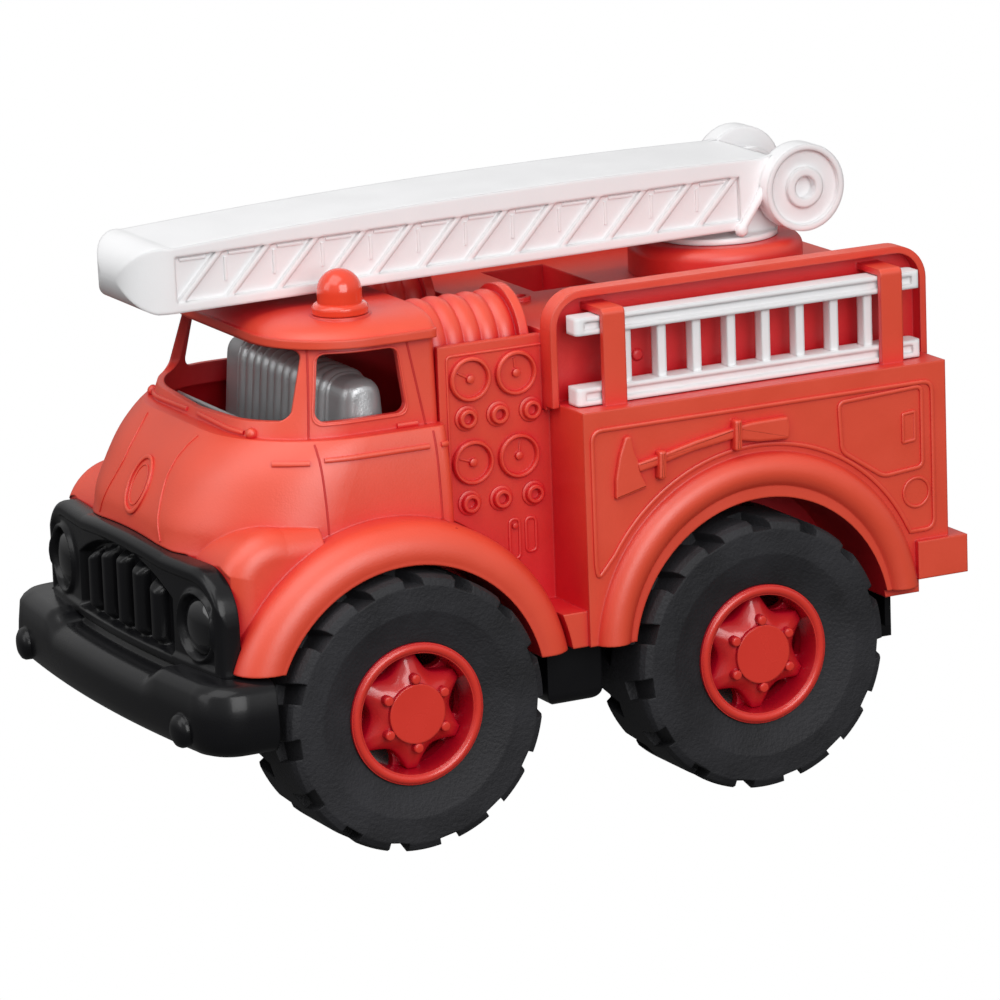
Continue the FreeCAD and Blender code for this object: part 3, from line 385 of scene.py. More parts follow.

# %% [markdown]
# ## One plastic from the moulded surface
# A real moulding has no sharp edge: the light runs over a small radius. Modelling that everywhere
# would cost many faces, so the Bevel node bends the normal near each edge instead. Light that goes
# to and fro between red walls also gets redder. A deep colour, painted into closed-in places where
# ambient occlusion finds nearby walls, stands in for it as painted shade.

# %% Plastic
def plastic(name, colour, roughness, grain=0.5, grain_scale=1500.0, mottle=0.03, bump=0.12,
            specular=0.5, coat=0.0, metallic=0.0, deep=None, edge=0.0008):
    """Plastic in one colour: the moulded surface feeds a shader that stays in the material.

    The bump starts from a normal that is rounded off within edge metres of every edge. Where a
    deep colour is given, it is painted in as nearby walls close the surface in. This is painted
    shade, found by ambient occlusion.
    """
    material = bpy.data.materials.new(name)
    material.use_nodes = True
    tree = material.node_tree
    shader = tree.nodes["Principled BSDF"]
    surface = node(tree, "ShaderNodeGroup", node_tree=MOULDED)
    for key, value in (("Colour", (*colour, 1)), ("Roughness", roughness), ("Grain", grain),
                       ("Grain scale", grain_scale), ("Mottle", mottle)):
        surface.inputs[key].default_value = value
    soft_edge = node(tree, "ShaderNodeBevel", [("Radius", edge)], samples=6)
    relief = node(tree, "ShaderNodeBump", [("Height", surface.outputs["Height"]),
                                           ("Strength", bump), ("Distance", 0.001),
                                           ("Normal", soft_edge.outputs["Normal"])])
    # deep: painted shade, a darker red mixed in where ambient occlusion finds closed-in places
    if deep:
        opened = node(tree, "ShaderNodeAmbientOcclusion", [("Distance", 0.04)], samples=6)
        share = node(tree, "ShaderNodeMapRange", [("Value", opened.outputs["AO"]),
                                                  ("From Min", 0.3), ("From Max", 0.95)])
        painted_recess_shade = node(tree, "ShaderNodeMix", [(0, share.outputs[0]), (6, (*deep, 1)),
                                            (7, (*colour, 1))], data_type="RGBA")
        tree.links.new(painted_recess_shade.outputs[2], surface.inputs["Colour"])
    tree.links.new(surface.outputs["Colour"], shader.inputs["Base Color"])
    tree.links.new(surface.outputs["Roughness"], shader.inputs["Roughness"])
    tree.links.new(relief.outputs["Normal"], shader.inputs["Normal"])
    shader.inputs["Metallic"].default_value = metallic
    shader.inputs["Specular IOR Level"].default_value = specular
    shader.inputs["Coat Weight"].default_value = coat
    shader.inputs["Coat Roughness"].default_value = 0.12
    return material


# %% [markdown]
# ## The toy's colours
# The body is a satin coral red, and the wheel centres are a glossier, deeper red. Raised lines are
# less than a millimetre high, and the soft edge of a large moulding would flatten them, so red and
# white each have a second plastic with a finer edge.

# %% Reds, blacks, whites and silver
# deep is painted shade: the darker crimson painted into the coral red's recesses
CORAL = {"colour": (0.80, 0.072, 0.028), "roughness": 0.42, "specular": 0.9,
         "deep": (0.62, 0.002, 0.012)}
RED_BODY = plastic("coral_red_moulding", **CORAL)
RED_FINE = plastic("coral_red_fine_lines", **CORAL, edge=0.0002)
# painted shade: the seams are a darker red than the body, standing in for the shade in a groove
SEAM_SHADE_RED = plastic("coral_red_painted_seam_shade", (0.58, 0.024, 0.018), 0.55)
# deep is painted shade: the darker red painted into the glossy red's recesses
RED_GLOSS = plastic("glossy_red_moulding", (0.74, 0.042, 0.026), 0.26, grain=0.15, coat=0.4,
                    deep=(0.50, 0.002, 0.020))
RED_LAMP = plastic("glossy_orange_red_lamp", (0.80, 0.055, 0.02), 0.18, grain=0.1, coat=0.6)
BLACK = plastic("satin_black_moulding", (0.006, 0.006, 0.007), 0.30, grain=0.35, bump=0.08,
                specular=0.2, coat=0.25)
BLACK_GLOSS = plastic("glossy_black_lens", (0.006, 0.006, 0.007), 0.1, grain=0.05, coat=0.8)
SATIN_WHITE = {"colour": (0.90, 0.90, 0.91), "roughness": 0.36, "mottle": 0.01, "bump": 0.07}
WHITE = plastic("satin_white_moulding", **SATIN_WHITE, edge=0.0015)
WHITE_FINE = plastic("satin_white_fine_lines", **SATIN_WHITE, edge=0.0002)
SILVER = plastic("silver_grey_moulding", (0.47, 0.48, 0.49), 0.34, grain=0.8, mottle=0.05,
                 metallic=0.6)
print(len(bpy.data.materials), "materials so far")

# %% [markdown]
# ## Rubbery tyres and plain steel
# The tyres are a soft charcoal plastic with a coarser, dustier surface than the body. The steel
# rods are hardly seen, but they have the fine lines of drawn wire along their length, which come
# from noise that is squeezed across the rod by a Mapping node.

# %% Tyre and steel
TYRE = plastic("charcoal_tyre", (0.020, 0.020, 0.023), 0.62, grain=1.6, grain_scale=900.0,
               mottle=0.35, bump=0.25, specular=0.35)


def drawn_steel():
    """Steel whose roughness follows noise stretched along the rod."""
    material = bpy.data.materials.new("drawn_steel")
    material.use_nodes = True
    tree = material.node_tree
    shader = tree.nodes["Principled BSDF"]
    shader.inputs["Base Color"].default_value = (0.55, 0.55, 0.56, 1)
    shader.inputs["Metallic"].default_value = 1.0
    place = node(tree, "ShaderNodeTexCoord").outputs["Object"]
    along = node(tree, "ShaderNodeMapping", [("Vector", place), ("Scale", (8.0, 900.0, 900.0))])
    lines = node(tree, "ShaderNodeTexNoise", [("Vector", along.outputs[0]), ("Scale", 3.0)])
    rough = node(tree, "ShaderNodeMapRange", [("Value", lines.outputs["Fac"]), ("To Min", 0.2),
                                              ("To Max", 0.45)])
    tree.links.new(rough.outputs[0], shader.inputs["Roughness"])
    return material


STEEL = drawn_steel()

# %% [markdown]
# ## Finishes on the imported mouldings
# The record names a material slot for each node, so one table gives every moulding its finish.
# The beacons share the wheel centres' slot, but they are a brighter, glossier red.

# %% Finishes by slot
FINISHES = {"red_body": RED_BODY, "red_gloss": RED_GLOSS, "black_plastic": BLACK,
            "white_plastic": WHITE, "silver_plastic": SILVER, "tyre": TYRE, "steel": STEEL}
for part in frame["record"]["subparts"]:
    finish = RED_LAMP if part["node"].startswith("beacon") else FINISHES[part["material_slot"]]
    nodes[part["node"]].data.materials.clear()
    nodes[part["node"]].data.materials.append(finish)
print(len(FINISHES), "finishes on", len(nodes), "nodes")

# %% [markdown]
# ## Three sections for every line
# The toy's lines are ribs less than a millimetre high. They are geometry and not bump, because
# each side of a rib has to catch the light. A seam is a low bead painted a darker red, which is
# painted shade for the shadow inside a moulded groove, and a trim strip is a wider rib. Each
# section lists (across, outward) points.

# %% Line sections
LINE = np.array([[-0.75, -0.5], [-0.6, 0.45], [-0.3, 0.62], [0.3, 0.62], [0.6, 0.45], [0.75, -0.5]])
TRIM = np.array([[-0.9, -0.5], [-0.75, 0.5], [-0.35, 0.75], [0.35, 0.75], [0.75, 0.5], [0.9, -0.5]])
SEAM = np.array([[-0.45, -0.4], [-0.3, 0.16], [0.3, 0.16], [0.45, -0.4]])
OUT = np.array([0.0, 0.0, 1.0])  # the third axis of a flat drawing


def line_shape(outline, profile=LINE, closed=True):
    """Line through flat (a, b) points: the section swept along them at height zero."""
    path = np.column_stack([outline, np.zeros(len(outline))])
    return swept(path, profile, OUT, closed)


# %% [markdown]
# ## Side panel: the border
# A raised line runs inside the panel's edge and turns to follow the fender. Its arc is worked out
# from the wheel's place, so it keeps an even distance from the fender. Points are (back from the
# panel's front, up from its top), as they are for all that lies on this panel.

# %% Panel border
hoop_shift = np.array([1.9, 5.8])  # the fender is struck this far behind and above the wheel


def panel_border():
    """Rounded rectangle whose lower edge is an arc round the fender: centre + r (cos, sin).

    The arc's foot at the front gives way to a rounded tip.
    """
    front, back, low, high = 2.7, 122.1, -53.0, -5.9
    radius = 59.2
    centre = rear_wheel[1:] + hoop_shift - [panel_front, panel_top]
    foot = np.arcsin((low - centre[1]) / radius)
    angle = np.linspace(np.pi - foot, foot, 48)
    arc = centre + radius * np.column_stack([np.cos(angle), np.sin(angle)])
    edge = rounded([[front, low], [front, high], [back, high], [back, low], arc[-1]], 3.5,
                   closed=False)
    tip = rounded([arc[3], [front + 0.6, low + 1.0], [front, low + 6.0]], 2.5, closed=False)
    return line_shape(np.vstack([edge[1:], arc[-2:3:-1], tip]))


# %% [markdown]
# ## Side panel: the axe
# An axe hangs in two clips. It has no line of symmetry to work from, so its three plates keep a
# few chosen corners each, and the tools above round them and bevel them.

# %% Axe
def axe():
    """Blade, handle and grip as bevelled plates, with two clips over the handle."""
    blade = rounded([[13.5, -8.7], [15.6, -8.7], [16.4, -13.7], [17.9, -17.1], [18.5, -20.9],
                     [20.7, -25.3], [9.7, -27.9], [9.8, -21.5], [11.3, -14.5]], 0.9)
    handle = rounded([[17.1, -17.3], [25.4, -15.7], [36.9, -13.1], [51.5, -10.9], [51.5, -14.3],
                      [36.8, -16.3], [25.3, -18.9], [17.9, -20.3]], 0.9)
    grip = rounded([[51.1, -10.5], [57.5, -9.9], [69.8, -9.8], [70.5, -13.5], [70.0, -17.0],
                    [59.5, -16.5], [51.1, -14.9]], 0.9)
    parts = [plate(blade, 1.5, 0.6), plate(handle, 1.9, 0.7), plate(grip, 2.3, 0.8)]
    for a, b, half in ((25.4, -18.9, 4.5), (51.9, -13.3, 4.9)):
        clip = rounded([[a - 1.5, b - half], [a + 1.3, b - half], [a + 1.5, b + half],
                        [a - 1.3, b + half]], 1.1)
        parts.append(plate(clip, 3.0, 0.9))
    return gather(*parts)


# %% [markdown]
# ## Side panel: the locker
# Behind the axe is a locker door with one corner cut off, and a round filler cap below it. Only
# their outlines and the latch's low plate stand out, because the door is moulded fast.

# %% Locker, and the whole panel
def locker():
    """Door outline with one corner cut off, its latch slot and the filler cap's circle."""
    door = rounded([[88.7, -8.5], [118.3, -7.1], [118.3, -32.7], [104.1, -33.9], [89.5, -24.1]],
                   2.2)
    latch = rounded([[111.5, -15.3], [115.7, -14.9], [115.7, -23.9], [111.5, -24.3]], 0.5)
    cap = [115.9, -40.7] + 4.6 * circle(40)
    return gather(line_shape(door), line_shape(latch, 0.8 * LINE), line_shape(cap, 0.7 * LINE),
                  plate(latch, 0.25, 0.1))


relief = laid(gather(panel_border(), axe(), locker()), [panel_x, panel_front, panel_top],
              BACKWARD, UPWARD, LEFTWARD)
both_sides("side_relief", relief, RED_FINE)

# %% [markdown]
# ## Pump panel: a dial and a port
# Between the cab and the side panel is a panel of dials and hose ports. Stacked cylinders would
# do, but one profile of (radius, outward) points, turned about an axis through the panel, has the
# soft steps of a moulding.

# %% Dial and port
DIAL = np.array([[6.9, -0.5], [6.9, 1.3], [6.5, 1.8], [5.9, 1.8], [5.6, 1.4], [5.5, 0.25],
                 [1.3, 0.25], [1.25, 1.3], [0.9, 1.5], [0.0, 1.5]])
PORT = np.array([[3.9, -0.5], [3.9, 0.5], [3.5, 0.7], [3.1, 0.7], [2.9, 2.0], [2.6, 2.3],
                 [1.8, 2.3], [1.6, 1.9], [1.5, 0.4], [0.0, 0.4]])
KNOB = np.array([[0.9, 0.0], [0.9, 0.9], [0.0, 1.2]])


def dial(a, b, needle_angle):
    """Raised ring with a hub, and a needle from the hub at an angle in degrees."""
    lean = np.radians(needle_angle)
    reach = np.array([np.cos(lean), np.sin(lean)])
    needle = line_shape([a, b] + np.array([[1.0], [4.6]]) * reach, 0.5 * LINE + [0.0, 0.3],
                        closed=False)
    return gather(turned(DIAL, [a, b, 0.0], OUT), needle)


def sight_tube(a, low, high):
    """Long rounded slot, drawn as a line round it."""
    half = 1.7
    slot = rounded([[a - half, low], [a + half, low], [a + half, high], [a - half, high]], 1.6)
    return line_shape(slot, 0.8 * LINE)


# %% [markdown]
# ## Pump panel: the layout
# A row of two dials stands above a row of three ports, twice over, with two sight tubes below.
# Short tables keep the layout easy to read and to change. Places are (back from the cab's back,
# up from the panel's top).

# %% Pump panel
DIALS = [(10.5, -10.8, 150.0), (26.1, -10.8, 95.0),  # back, up, the needle's angle
         (10.5, -36.6, 160.0), (26.1, -36.6, 80.0)]
PORT_COLUMNS, PORT_ROWS = (9.0, 19.7, 30.8), (-22.8, -49.1)
SIGHT_TUBES = [(24.0, -68.8, -56.4), (29.6, -67.2, -56.6)]  # back, low end, high end


def pump_panel():
    """Dials, ports, two sight tubes with a knob between them, and a line round the corner."""
    parts = [dial(*place) for place in DIALS]
    parts += [turned(PORT, [a, b, 0.0], OUT) for b in PORT_ROWS for a in PORT_COLUMNS]
    parts += [sight_tube(*place) for place in SIGHT_TUBES]
    parts.append(turned(KNOB, [24.0, -58.4, 0.0], OUT, 16))
    border = rounded([[3.1, -46.8], [3.1, -3.2], [36.5, -3.2]], 1.5, closed=False)
    parts.append(line_shape(border, 0.6 * LINE, closed=False))
    return gather(*parts)


pump = laid(pump_panel(), [gauge_x, cab_back, gauge_top], BACKWARD, UPWARD, LEFTWARD)
both_sides("pump_panel", pump, RED_FINE)

# %% [markdown]
# ## Dropping a line on a curved wall
# The cab is curved, so its seams and trim are drawn flat first and then dropped on it: a ray
# from each point of the line finds the moulding and the direction that it faces. The normals come
# in steps from facet to facet, so they are eased before the section follows them.

# %% Dropped lines
cab_corner = np.array([cab_back, cab_high[2]])
beside, ahead = 90.0, -160.0  # where the rays start, clear of the truck


def dropped(starts, direction, target="cab_shell"):
    """Points where rays from the starts meet a node, and its unit normals there."""
    meetings = [met(target, start, direction) for start in starts]
    hits, normals = np.array([meeting for meeting in meetings if meeting]).transpose(1, 0, 2)
    return hits, unit(normals)


def eased(values, width=5):
    """Mean over a few neighbours, with the end values repeated past the ends."""
    kernel = np.ones(width) / width
    padded = np.pad(values, ((width // 2, width // 2), (0, 0)), mode="edge")
    return np.stack([np.convolve(column, kernel, "valid") for column in padded.T], axis=-1)


def line_on_side(outline, profile, corner=cab_corner, target="cab_shell", spacing=1.2,
                 closed=False):
    """Line over a node's left side through (back, up) points from a corner, dropped along -X."""
    corners = corner + np.asarray(outline, float)
    if closed:
        corners = np.vstack([corners, corners[:1]])
    steps = np.linalg.norm(np.diff(corners, axis=0), axis=1)
    along = np.concatenate([[0], np.cumsum(steps)])
    at = np.linspace(0, along[-1], max(4, int(along[-1] / spacing)))
    if closed:
        at = at[:-1]
    flat = np.column_stack([np.interp(at, along, corners[:, k]) for k in (0, 1)])
    hits, normals = dropped(np.column_stack([np.full(len(flat), beside), flat]), -LEFTWARD, target)
    return swept(hits, profile, unit(eased(normals)), closed)


# %% [markdown]
# ## Seams and trim on the cab's side
# Two seams show where the door ends. Trim strips run below the window, with a short one for the
# door handle, and a thin line frames the window. Points are (back from the cab's back, up from
# its roof), so both numbers are negative.

# %% Cab sides
window = rounded([[-41.3, -30.1], [-38.0, -8.9], [-12.7, -8.9], [-10.3, -30.1]], 3.4)
seams = gather(
    line_on_side([[-39.5, -7.9], [-42.7, -33.6], [-42.5, -40.1], [-42.5, -61.1]], SEAM),
    line_on_side([[-9.7, -7.9], [-5.0, -33.6], [-4.8, -40.1], [-4.8, -62.6]], SEAM),
)
trim = gather(
    line_on_side([[-41.1, -39.3], [-7.1, -39.3]], TRIM),  # below the window
    line_on_side([[-55.1, -39.9], [-45.3, -39.9]], TRIM),  # ahead of the door
    line_on_side([[-3.1, -39.3], [-0.7, -39.3]], TRIM),  # behind the door
    line_on_side([[-14.5, -33.2], [-7.7, -33.2]], 1.05 * TRIM),  # door handle
    line_on_side(window, 0.5 * LINE, closed=True),
)
# the seams' darker red is painted shade of a groove
both_sides("cab_seams", seams, SEAM_SHADE_RED)
both_sides("cab_trim", trim, RED_FINE)

# %% [markdown]
# ## Badge, creases and wipers
# The bonnet has a plain oval ring, a fine crease at each side of its middle, and two wipers at
# the foot of the windscreen. They are dropped on the bonnet from in front, along the truck. Their
# points are (sideways, up from the roof).

# %% Bonnet details
WIPER_PIVOT = np.array([[1.8, -1.0], [1.8, 0.8], [1.4, 1.5], [0.6, 1.9], [0.0, 2.0]])


def line_on_front(outline, profile, closed=False):
    """Line over the nose through (sideways, up) points, dropped along +Y."""
    starts = np.column_stack([outline[:, 0], np.full(len(outline), ahead),
                              cab_high[2] + outline[:, 1]])
    hits, normals = dropped(starts, BACKWARD)
    return swept(hits, profile, unit(eased(normals)), closed)


badge_middle = [0.0, -52.5]
badge = gather(line_on_front(badge_middle + circle(72) * [6.4, 8.0], 1.1 * LINE, closed=True),
               line_on_front(badge_middle + circle(72) * [4.4, 5.8], 0.45 * LINE, closed=True))
piece("badge_ring", badge, RED_FINE)
crease_z = np.linspace(-65.1, -35.3, 40)
crease_x = np.interp(crease_z, [-65.1, -60.1, -53.1, -48.1, -42.1, -38.1, -35.1],
                     [23, 20.5, 17.5, 15.8, 16, 17.2, 19])
crease = line_on_front(np.column_stack([crease_x, crease_z]), 0.55 * LINE)
piece("bonnet_creases", paired(crease), RED_FINE)
blade_x = np.linspace(4.0, 33.6, 28)
blade = line_on_front(np.column_stack([blade_x, -32.2 - 0.02 * blade_x]), 0.9 * TRIM)
pivot, _ = met("cab_shell", [36.4, ahead, cab_high[2] - 32.9], BACKWARD)
wiper = gather(blade, turned(WIPER_PIVOT, pivot, [0.35, -0.8, 0.5], 24))
piece("wipers", paired(wiper), RED_FINE)

# %% [markdown]
# ## Grille panel: its outline
# The black panel is a thick, soft moulding, so its plain solid is replaced by a height field: a
# table of points over its outline, each pushed in or out by a formula. That gives soft changes
# between the parts, which boxes with bevels wouldn't. First come its sizes and its outline.

# %% Grille outline
grille_half, grille_bow, grille_thick = grille_high[0], 4.5, 6.5
corner_round, hump, hump_half = 16.0, 1.5, 30.0


def bowed_face(x):
    """The panel's front: its middle plus bow (x / half)^2."""
    return grille_low[1] + grille_bow * (x / grille_half) ** 2


def grille_top(x):
    """Level, with a low hump in the middle, and a quarter circle at each end."""
    past = np.clip(np.abs(x) - (grille_half - corner_round), 0.0, corner_round)
    return (grille_high[2] - hump + hump * np.clip(1 - (x / hump_half) ** 2, 0, 1)
            - corner_round + np.sqrt(corner_round ** 2 - past ** 2))


# %% [markdown]
# ## Grille panel: its depth
# Three depths are added up: the rounded edge with the step inside it, the pocket with its five
# fat fins, and the hollow and ring of each headlamp.

# %% Grille depths
edge_round = 2.6
pocket_half, pocket_foot, pocket_ceiling, ceiling_radius = 35.7, 3.5, 31.0, 71.4
fin_pitch, fin_half, fins_a_side = 11.9, 2.9, 2
lamp_x, lamp_z = 50.6, grille_low[2] + 15.8


def smooth(t):
    """3 t^2 - 2 t^3 between 0 and 1, and flat outside."""
    t = np.clip(t, 0.0, 1.0)
    return t * t * (3 - 2 * t)


def border_depth(x, z):
    """A quarter circle next to the outline, and a step down inside the border."""
    edge = np.minimum(np.minimum(grille_half - np.abs(x), z - grille_low[2]), grille_top(x) - z)
    rounding = edge_round * (1 - np.sqrt(1 - (1 - np.clip(edge / edge_round, 0, 1)) ** 2))
    return rounding + 1.2 * smooth((edge - 3.6) / 1.8)


def pocket_depth(x, z):
    """A pocket 3.6 deep under an arched ceiling, with fins (1 - |across|^3)^(1/3) high in it."""
    foot = grille_low[2] + pocket_foot
    ceiling = (grille_low[2] + pocket_ceiling - ceiling_radius
               + np.sqrt(ceiling_radius ** 2 - np.clip(np.abs(x), 0, 60) ** 2))
    inside = np.minimum(np.minimum(pocket_half - np.abs(x), z - foot), ceiling - z)
    centre = fin_pitch * np.clip(np.round(x / fin_pitch), -fins_a_side, fins_a_side)
    across = np.clip(np.abs(x - centre) / fin_half, 0, 1)
    ends = smooth((ceiling - 2.2 - z) / 3.5) * smooth((z - foot - 0.6) / 3.0)
    fin = (1 - across ** 3) ** (1 / 3) * np.sqrt(ends)
    return smooth(inside / 1.8) * (3.6 - 4.6 * fin)


def lamp_depth(x, z):
    """A hollow of radius 9.4 round each lamp, inside a ring whose height is a bell curve."""
    lamp = np.hypot(np.abs(x) - lamp_x, z - lamp_z)
    return 1.6 * smooth((9.4 - lamp) / 0.9) - 1.5 * np.exp(-((lamp - 10.3) / 0.9) ** 2)


# %% [markdown]
# ## Grille panel: the mesh and its lamps
# The front is worked out over the outline, and the flat back closes it. Fine columns are needed
# across, because the fins are narrow. Each headlamp is a turned lens that faces square to the bow.

# %% Grille and headlamps
x = np.linspace(-grille_half, grille_half, 280)[:, None]
share = np.linspace(0, 1, 110)[None, :]
x, z = np.broadcast_arrays(x, grille_low[2] + share * (grille_top(x) - grille_low[2]))
depth = border_depth(x, z) + pocket_depth(x, z) + lamp_depth(x, z)
front = np.stack([x, bowed_face(x) + depth, z], axis=-1)
back = np.stack([x, bowed_face(x) + grille_thick, z], axis=-1)
panel = grid(np.concatenate([front, back[:, ::-1]], axis=1), wrap_cols=True, caps=True)
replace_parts(piece("grille_panel", panel, BLACK), "grille")

LENS = np.array([[9.0, -2.2], [8.9, -0.4], [8.2, 0.6], [6.6, 1.5], [4.5, 2.1], [2.2, 2.5],
                 [0.0, 2.6]])
slope = 2 * grille_bow * lamp_x / grille_half ** 2
lens = turned(LENS, [lamp_x, bowed_face(lamp_x) + 2.2, lamp_z], [slope, -1.0, 0.0], 56)
piece("headlamps", paired(lens), BLACK_GLOSS)

# %% [markdown]
# ## Bumper: the line it follows
# The bumper is one section carried round the front corners, which keeps its top edge soft all the
# way. From above, it is a low arc in front, a quarter circle at each corner, and a straight end.

# %% Bumper plan
bumper_half, nose_y = bumper_high[0], bumper_low[1]
bumper_bow, corner_radius, wrap_back = 3.5, 14.0, 27.0


def bowed_bumper(x):
    """The bumper's front: its middle plus bow (x / straight half)^2."""
    return nose_y + bumper_bow * (x / (bumper_half - corner_radius)) ** 2


def bumper_plan():
    """Outer line of the bumper from above: straight end, quarter circle, and half of a low arc."""
    side_y = nose_y + bumper_bow + corner_radius
    straight = np.column_stack([np.full(10, bumper_half),
                                np.linspace(nose_y + wrap_back, side_y, 10)])
    angle = np.linspace(0, -np.pi / 2, 20)[1:]
    corner = ([bumper_half - corner_radius, side_y]
              + corner_radius * np.column_stack([np.cos(angle), np.sin(angle)]))
    across = np.linspace(bumper_half - corner_radius, 0, 60)[1:]
    half = np.vstack([straight, corner, np.column_stack([across, bowed_bumper(across)])])
    return np.vstack([half, half[-2::-1] * [-1, 1]])


def outward_from(plan):
    """Eased normals of the line, on the side that faces the front."""
    along = unit(np.gradient(plan, axis=0))
    outward = np.stack([-along[:, 1], along[:, 0]], axis=-1)
    return unit(eased(outward * np.sign(-outward[:, 1].mean())))


# %% [markdown]
# ## Bumper: the section it carries
# The top is higher beside the grille than in front of it. The section gets thinner where it turns
# back along the sides, so that it never folds over itself inside the corner. Its lip reaches back
# to the grille's face, where it turns up to meet the panel.

# %% Soft bumper
FACE = [(-5.2, 0.0), (-2.8, 0.9), (-1.1, 2.8), (-0.2, 5.6), (0.0, 9.0), (-0.2, 12.2)]
TOP_EDGE = [(-0.9, -3.4), (-2.0, -1.8), (-3.6, -0.6), (-5.6, 0.0)]
FOG_LAMP = np.array([[5.2, -4.0], [5.2, 0.5], [4.7, 1.5], [3.4, 2.3], [1.8, 2.7], [0.0, 2.8]])
fog_x, fog_z = 60.0, bumper_low[2] + 7.1


def bumper_table(plan):
    """Rows along the plan. Each is a loop of (outward, height): face, top edge, lip and back."""
    reach = np.abs(plan[:, 0])
    level = np.ones_like(reach)
    foot, seat = bumper_low[2] * level, (grille_low[2] + 0.3) * level
    top = foot + 18.2 + 3.9 * smooth((reach - 33.0) / 10.0)
    deep = 12.5 + 8.0 * smooth((64.5 - reach) / 9.0)
    to_grille = bowed_face(reach) - plan[:, 1] + 0.6 + 40.0 * smooth((reach - 56.0) / 8.0)
    lip = np.minimum(deep - 1.2, to_grille)
    loop = [(out * level, foot + up) for out, up in FACE]
    loop += [(out * level, top + up) for out, up in TOP_EDGE]
    loop += [(-lip, top), (-lip - 0.8, seat), (-deep, seat), (-deep, foot)]
    outward = outward_from(plan)
    return np.stack([np.column_stack([plan + out[:, None] * outward, height])
                     for out, height in loop], axis=1)


bar = grid(bumper_table(bumper_plan()), wrap_cols=True, caps=True)
fog = turned(FOG_LAMP, [fog_x, bowed_bumper(fog_x), fog_z], [0.1, -1.0, 0.0], 36)
bumper = piece("soft_bumper", gather(bar, paired(fog)), BLACK, crease=40.0)
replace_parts(bumper, "front_bumper")

# %% [markdown]
# ## Seat back with pleats
# The seat is a hard moulding that looks padded: upright pleats across its middle, and smooth
# bolsters at its ends. One section is carried across the cab, and each point is pushed out along
# the section's own normal by |sin| of its place, which makes round pleats with narrow creases.

# %% Seat back
seat_half, pleat_half, pleat_pitch = 44.5, 33.0, 5.2
end_round = 5.0
seat_rear = seat_high[1] - 8.9
seat_front = seat_rear - 16.0
seat_top, floor_z = seat_high[2], seat_low[2]


def seat_back():
    """Rows across the cab of one closed section, swollen by the pleats and rounded at the ends."""
    section = rounded([[seat_front - 1.2, floor_z + 1.0], [seat_front + 2.6, seat_top],
                       [seat_rear - 1.0, seat_top], [seat_rear + 2.4, floor_z + 1.0]], 6.0, 8)
    tangent = unit(np.roll(section, -1, axis=0) - np.roll(section, 1, axis=0))
    normal = np.column_stack([-tangent[:, 1], tangent[:, 0]])
    normal *= np.sign(np.sum(normal * (section - section.mean(axis=0))))
    across = np.linspace(-seat_half, seat_half, 300)
    wave = np.abs(np.sin(np.pi * across / pleat_pitch)) ** 0.7
    pleats = 1.3 * wave * smooth((pleat_half - np.abs(across)) / 1.5)
    past = np.clip((np.abs(across) - (seat_half - end_round)) / end_round, 0, 1)
    swell = pleats - 3.4 * (1 - np.sqrt(1 - past ** 2))
    rows = section[None] + swell[:, None, None] * normal[None]
    sideways = np.broadcast_to(across[:, None, None], rows[..., :1].shape)
    return grid(np.concatenate([sideways, rows], axis=-1), wrap_cols=True, caps=True)


# %% [markdown]
# ## Bench, floor and dashboard
# The bench and the floor are plain slabs with a soft upper edge. The dashboard is a thin wall that
# bends round behind the windscreen. Together they replace the plain solid of the cab's inside.

# %% Bench, floor and dashboard
dash_half, dash_thick = 39.0, 1.8
RIM = [(0.0, -1.2), (0.3, -0.4), (0.9, 0.0), (1.5, -0.4), (dash_thick, -1.2)]  # back, up


def slab(x0, x1, y0, y1, z0, z1, bevel):
    """Block with a bevelled top, as a plate over its plan."""
    plan = rounded([[x0, y0], [x1, y0], [x1, y1], [x0, y1]], 1.5)
    points, faces = plate(plan, z1 - z0, bevel, 0.0)
    return points + [0, 0, z0], faces


def dashboard():
    """Thin upright wall behind the windscreen's foot; its plan is front + 0.0037 x^2.

    Its top drops by 3 mm towards each side, so that it stays behind the sill.
    """
    across = np.linspace(-dash_half, dash_half, 60)
    front = seat_low[1] - 0.5 + 0.0037 * across ** 2
    sill = seat_top - 11.9 - 3.0 * (across / dash_half) ** 2
    foot = np.full_like(across, floor_z)
    loop = [(0.0, foot)] + [(out, sill + up) for out, up in RIM] + [(dash_thick, foot)]
    rows = np.stack([np.column_stack([across, front + out, height]) for out, height in loop],
                    axis=1)
    return grid(rows, wrap_cols=True, caps=True)


bench = slab(-seat_half, seat_half, seat_rear - 24.0, seat_front + 1.0, floor_z, seat_top - 24.3,
             2.0)
floor = slab(-45.0, 45.0, seat_low[1] - 0.1, seat_high[1] - 0.9, floor_z, floor_z + 2.0, 0.5)
inside = piece("seat_and_dashboard", gather(seat_back(), bench, floor, dashboard()), SILVER)
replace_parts(inside, "cab_interior")

# %% [markdown]
# ## Wheel centres
# Each hub gets six broad arms between its cap and its rim, a rounded lip, and flat pegs. The arms
# are one turned profile, and its reach is cut back in a scallop at each of the six windows. That
# keeps the arms joined by soft fillets, as in a moulding.

# %% Hub stars
cap_radius, peg_circle, arms = 9.2, 10.7, 6
STAR = np.array([[cap_radius, -1.4], [10.4, -1.9], [12.2, -2.6], [14.2, -3.5], [16.0, -4.4],
                 [17.5, -5.0], [18.2, -5.6], [18.2, -10.0]])
LIP = np.array([[18.9, -0.6], [19.1, 0.1], [19.7, 0.6], [20.5, 0.75], [21.2, 0.5], [21.7, -0.1],
                [21.8, -0.9], [20.2, -1.4]])
PEG = np.array([[1.62, -0.4], [1.6, 0.35], [1.35, 0.7], [0.9, 0.8], [0.0, 0.8]])


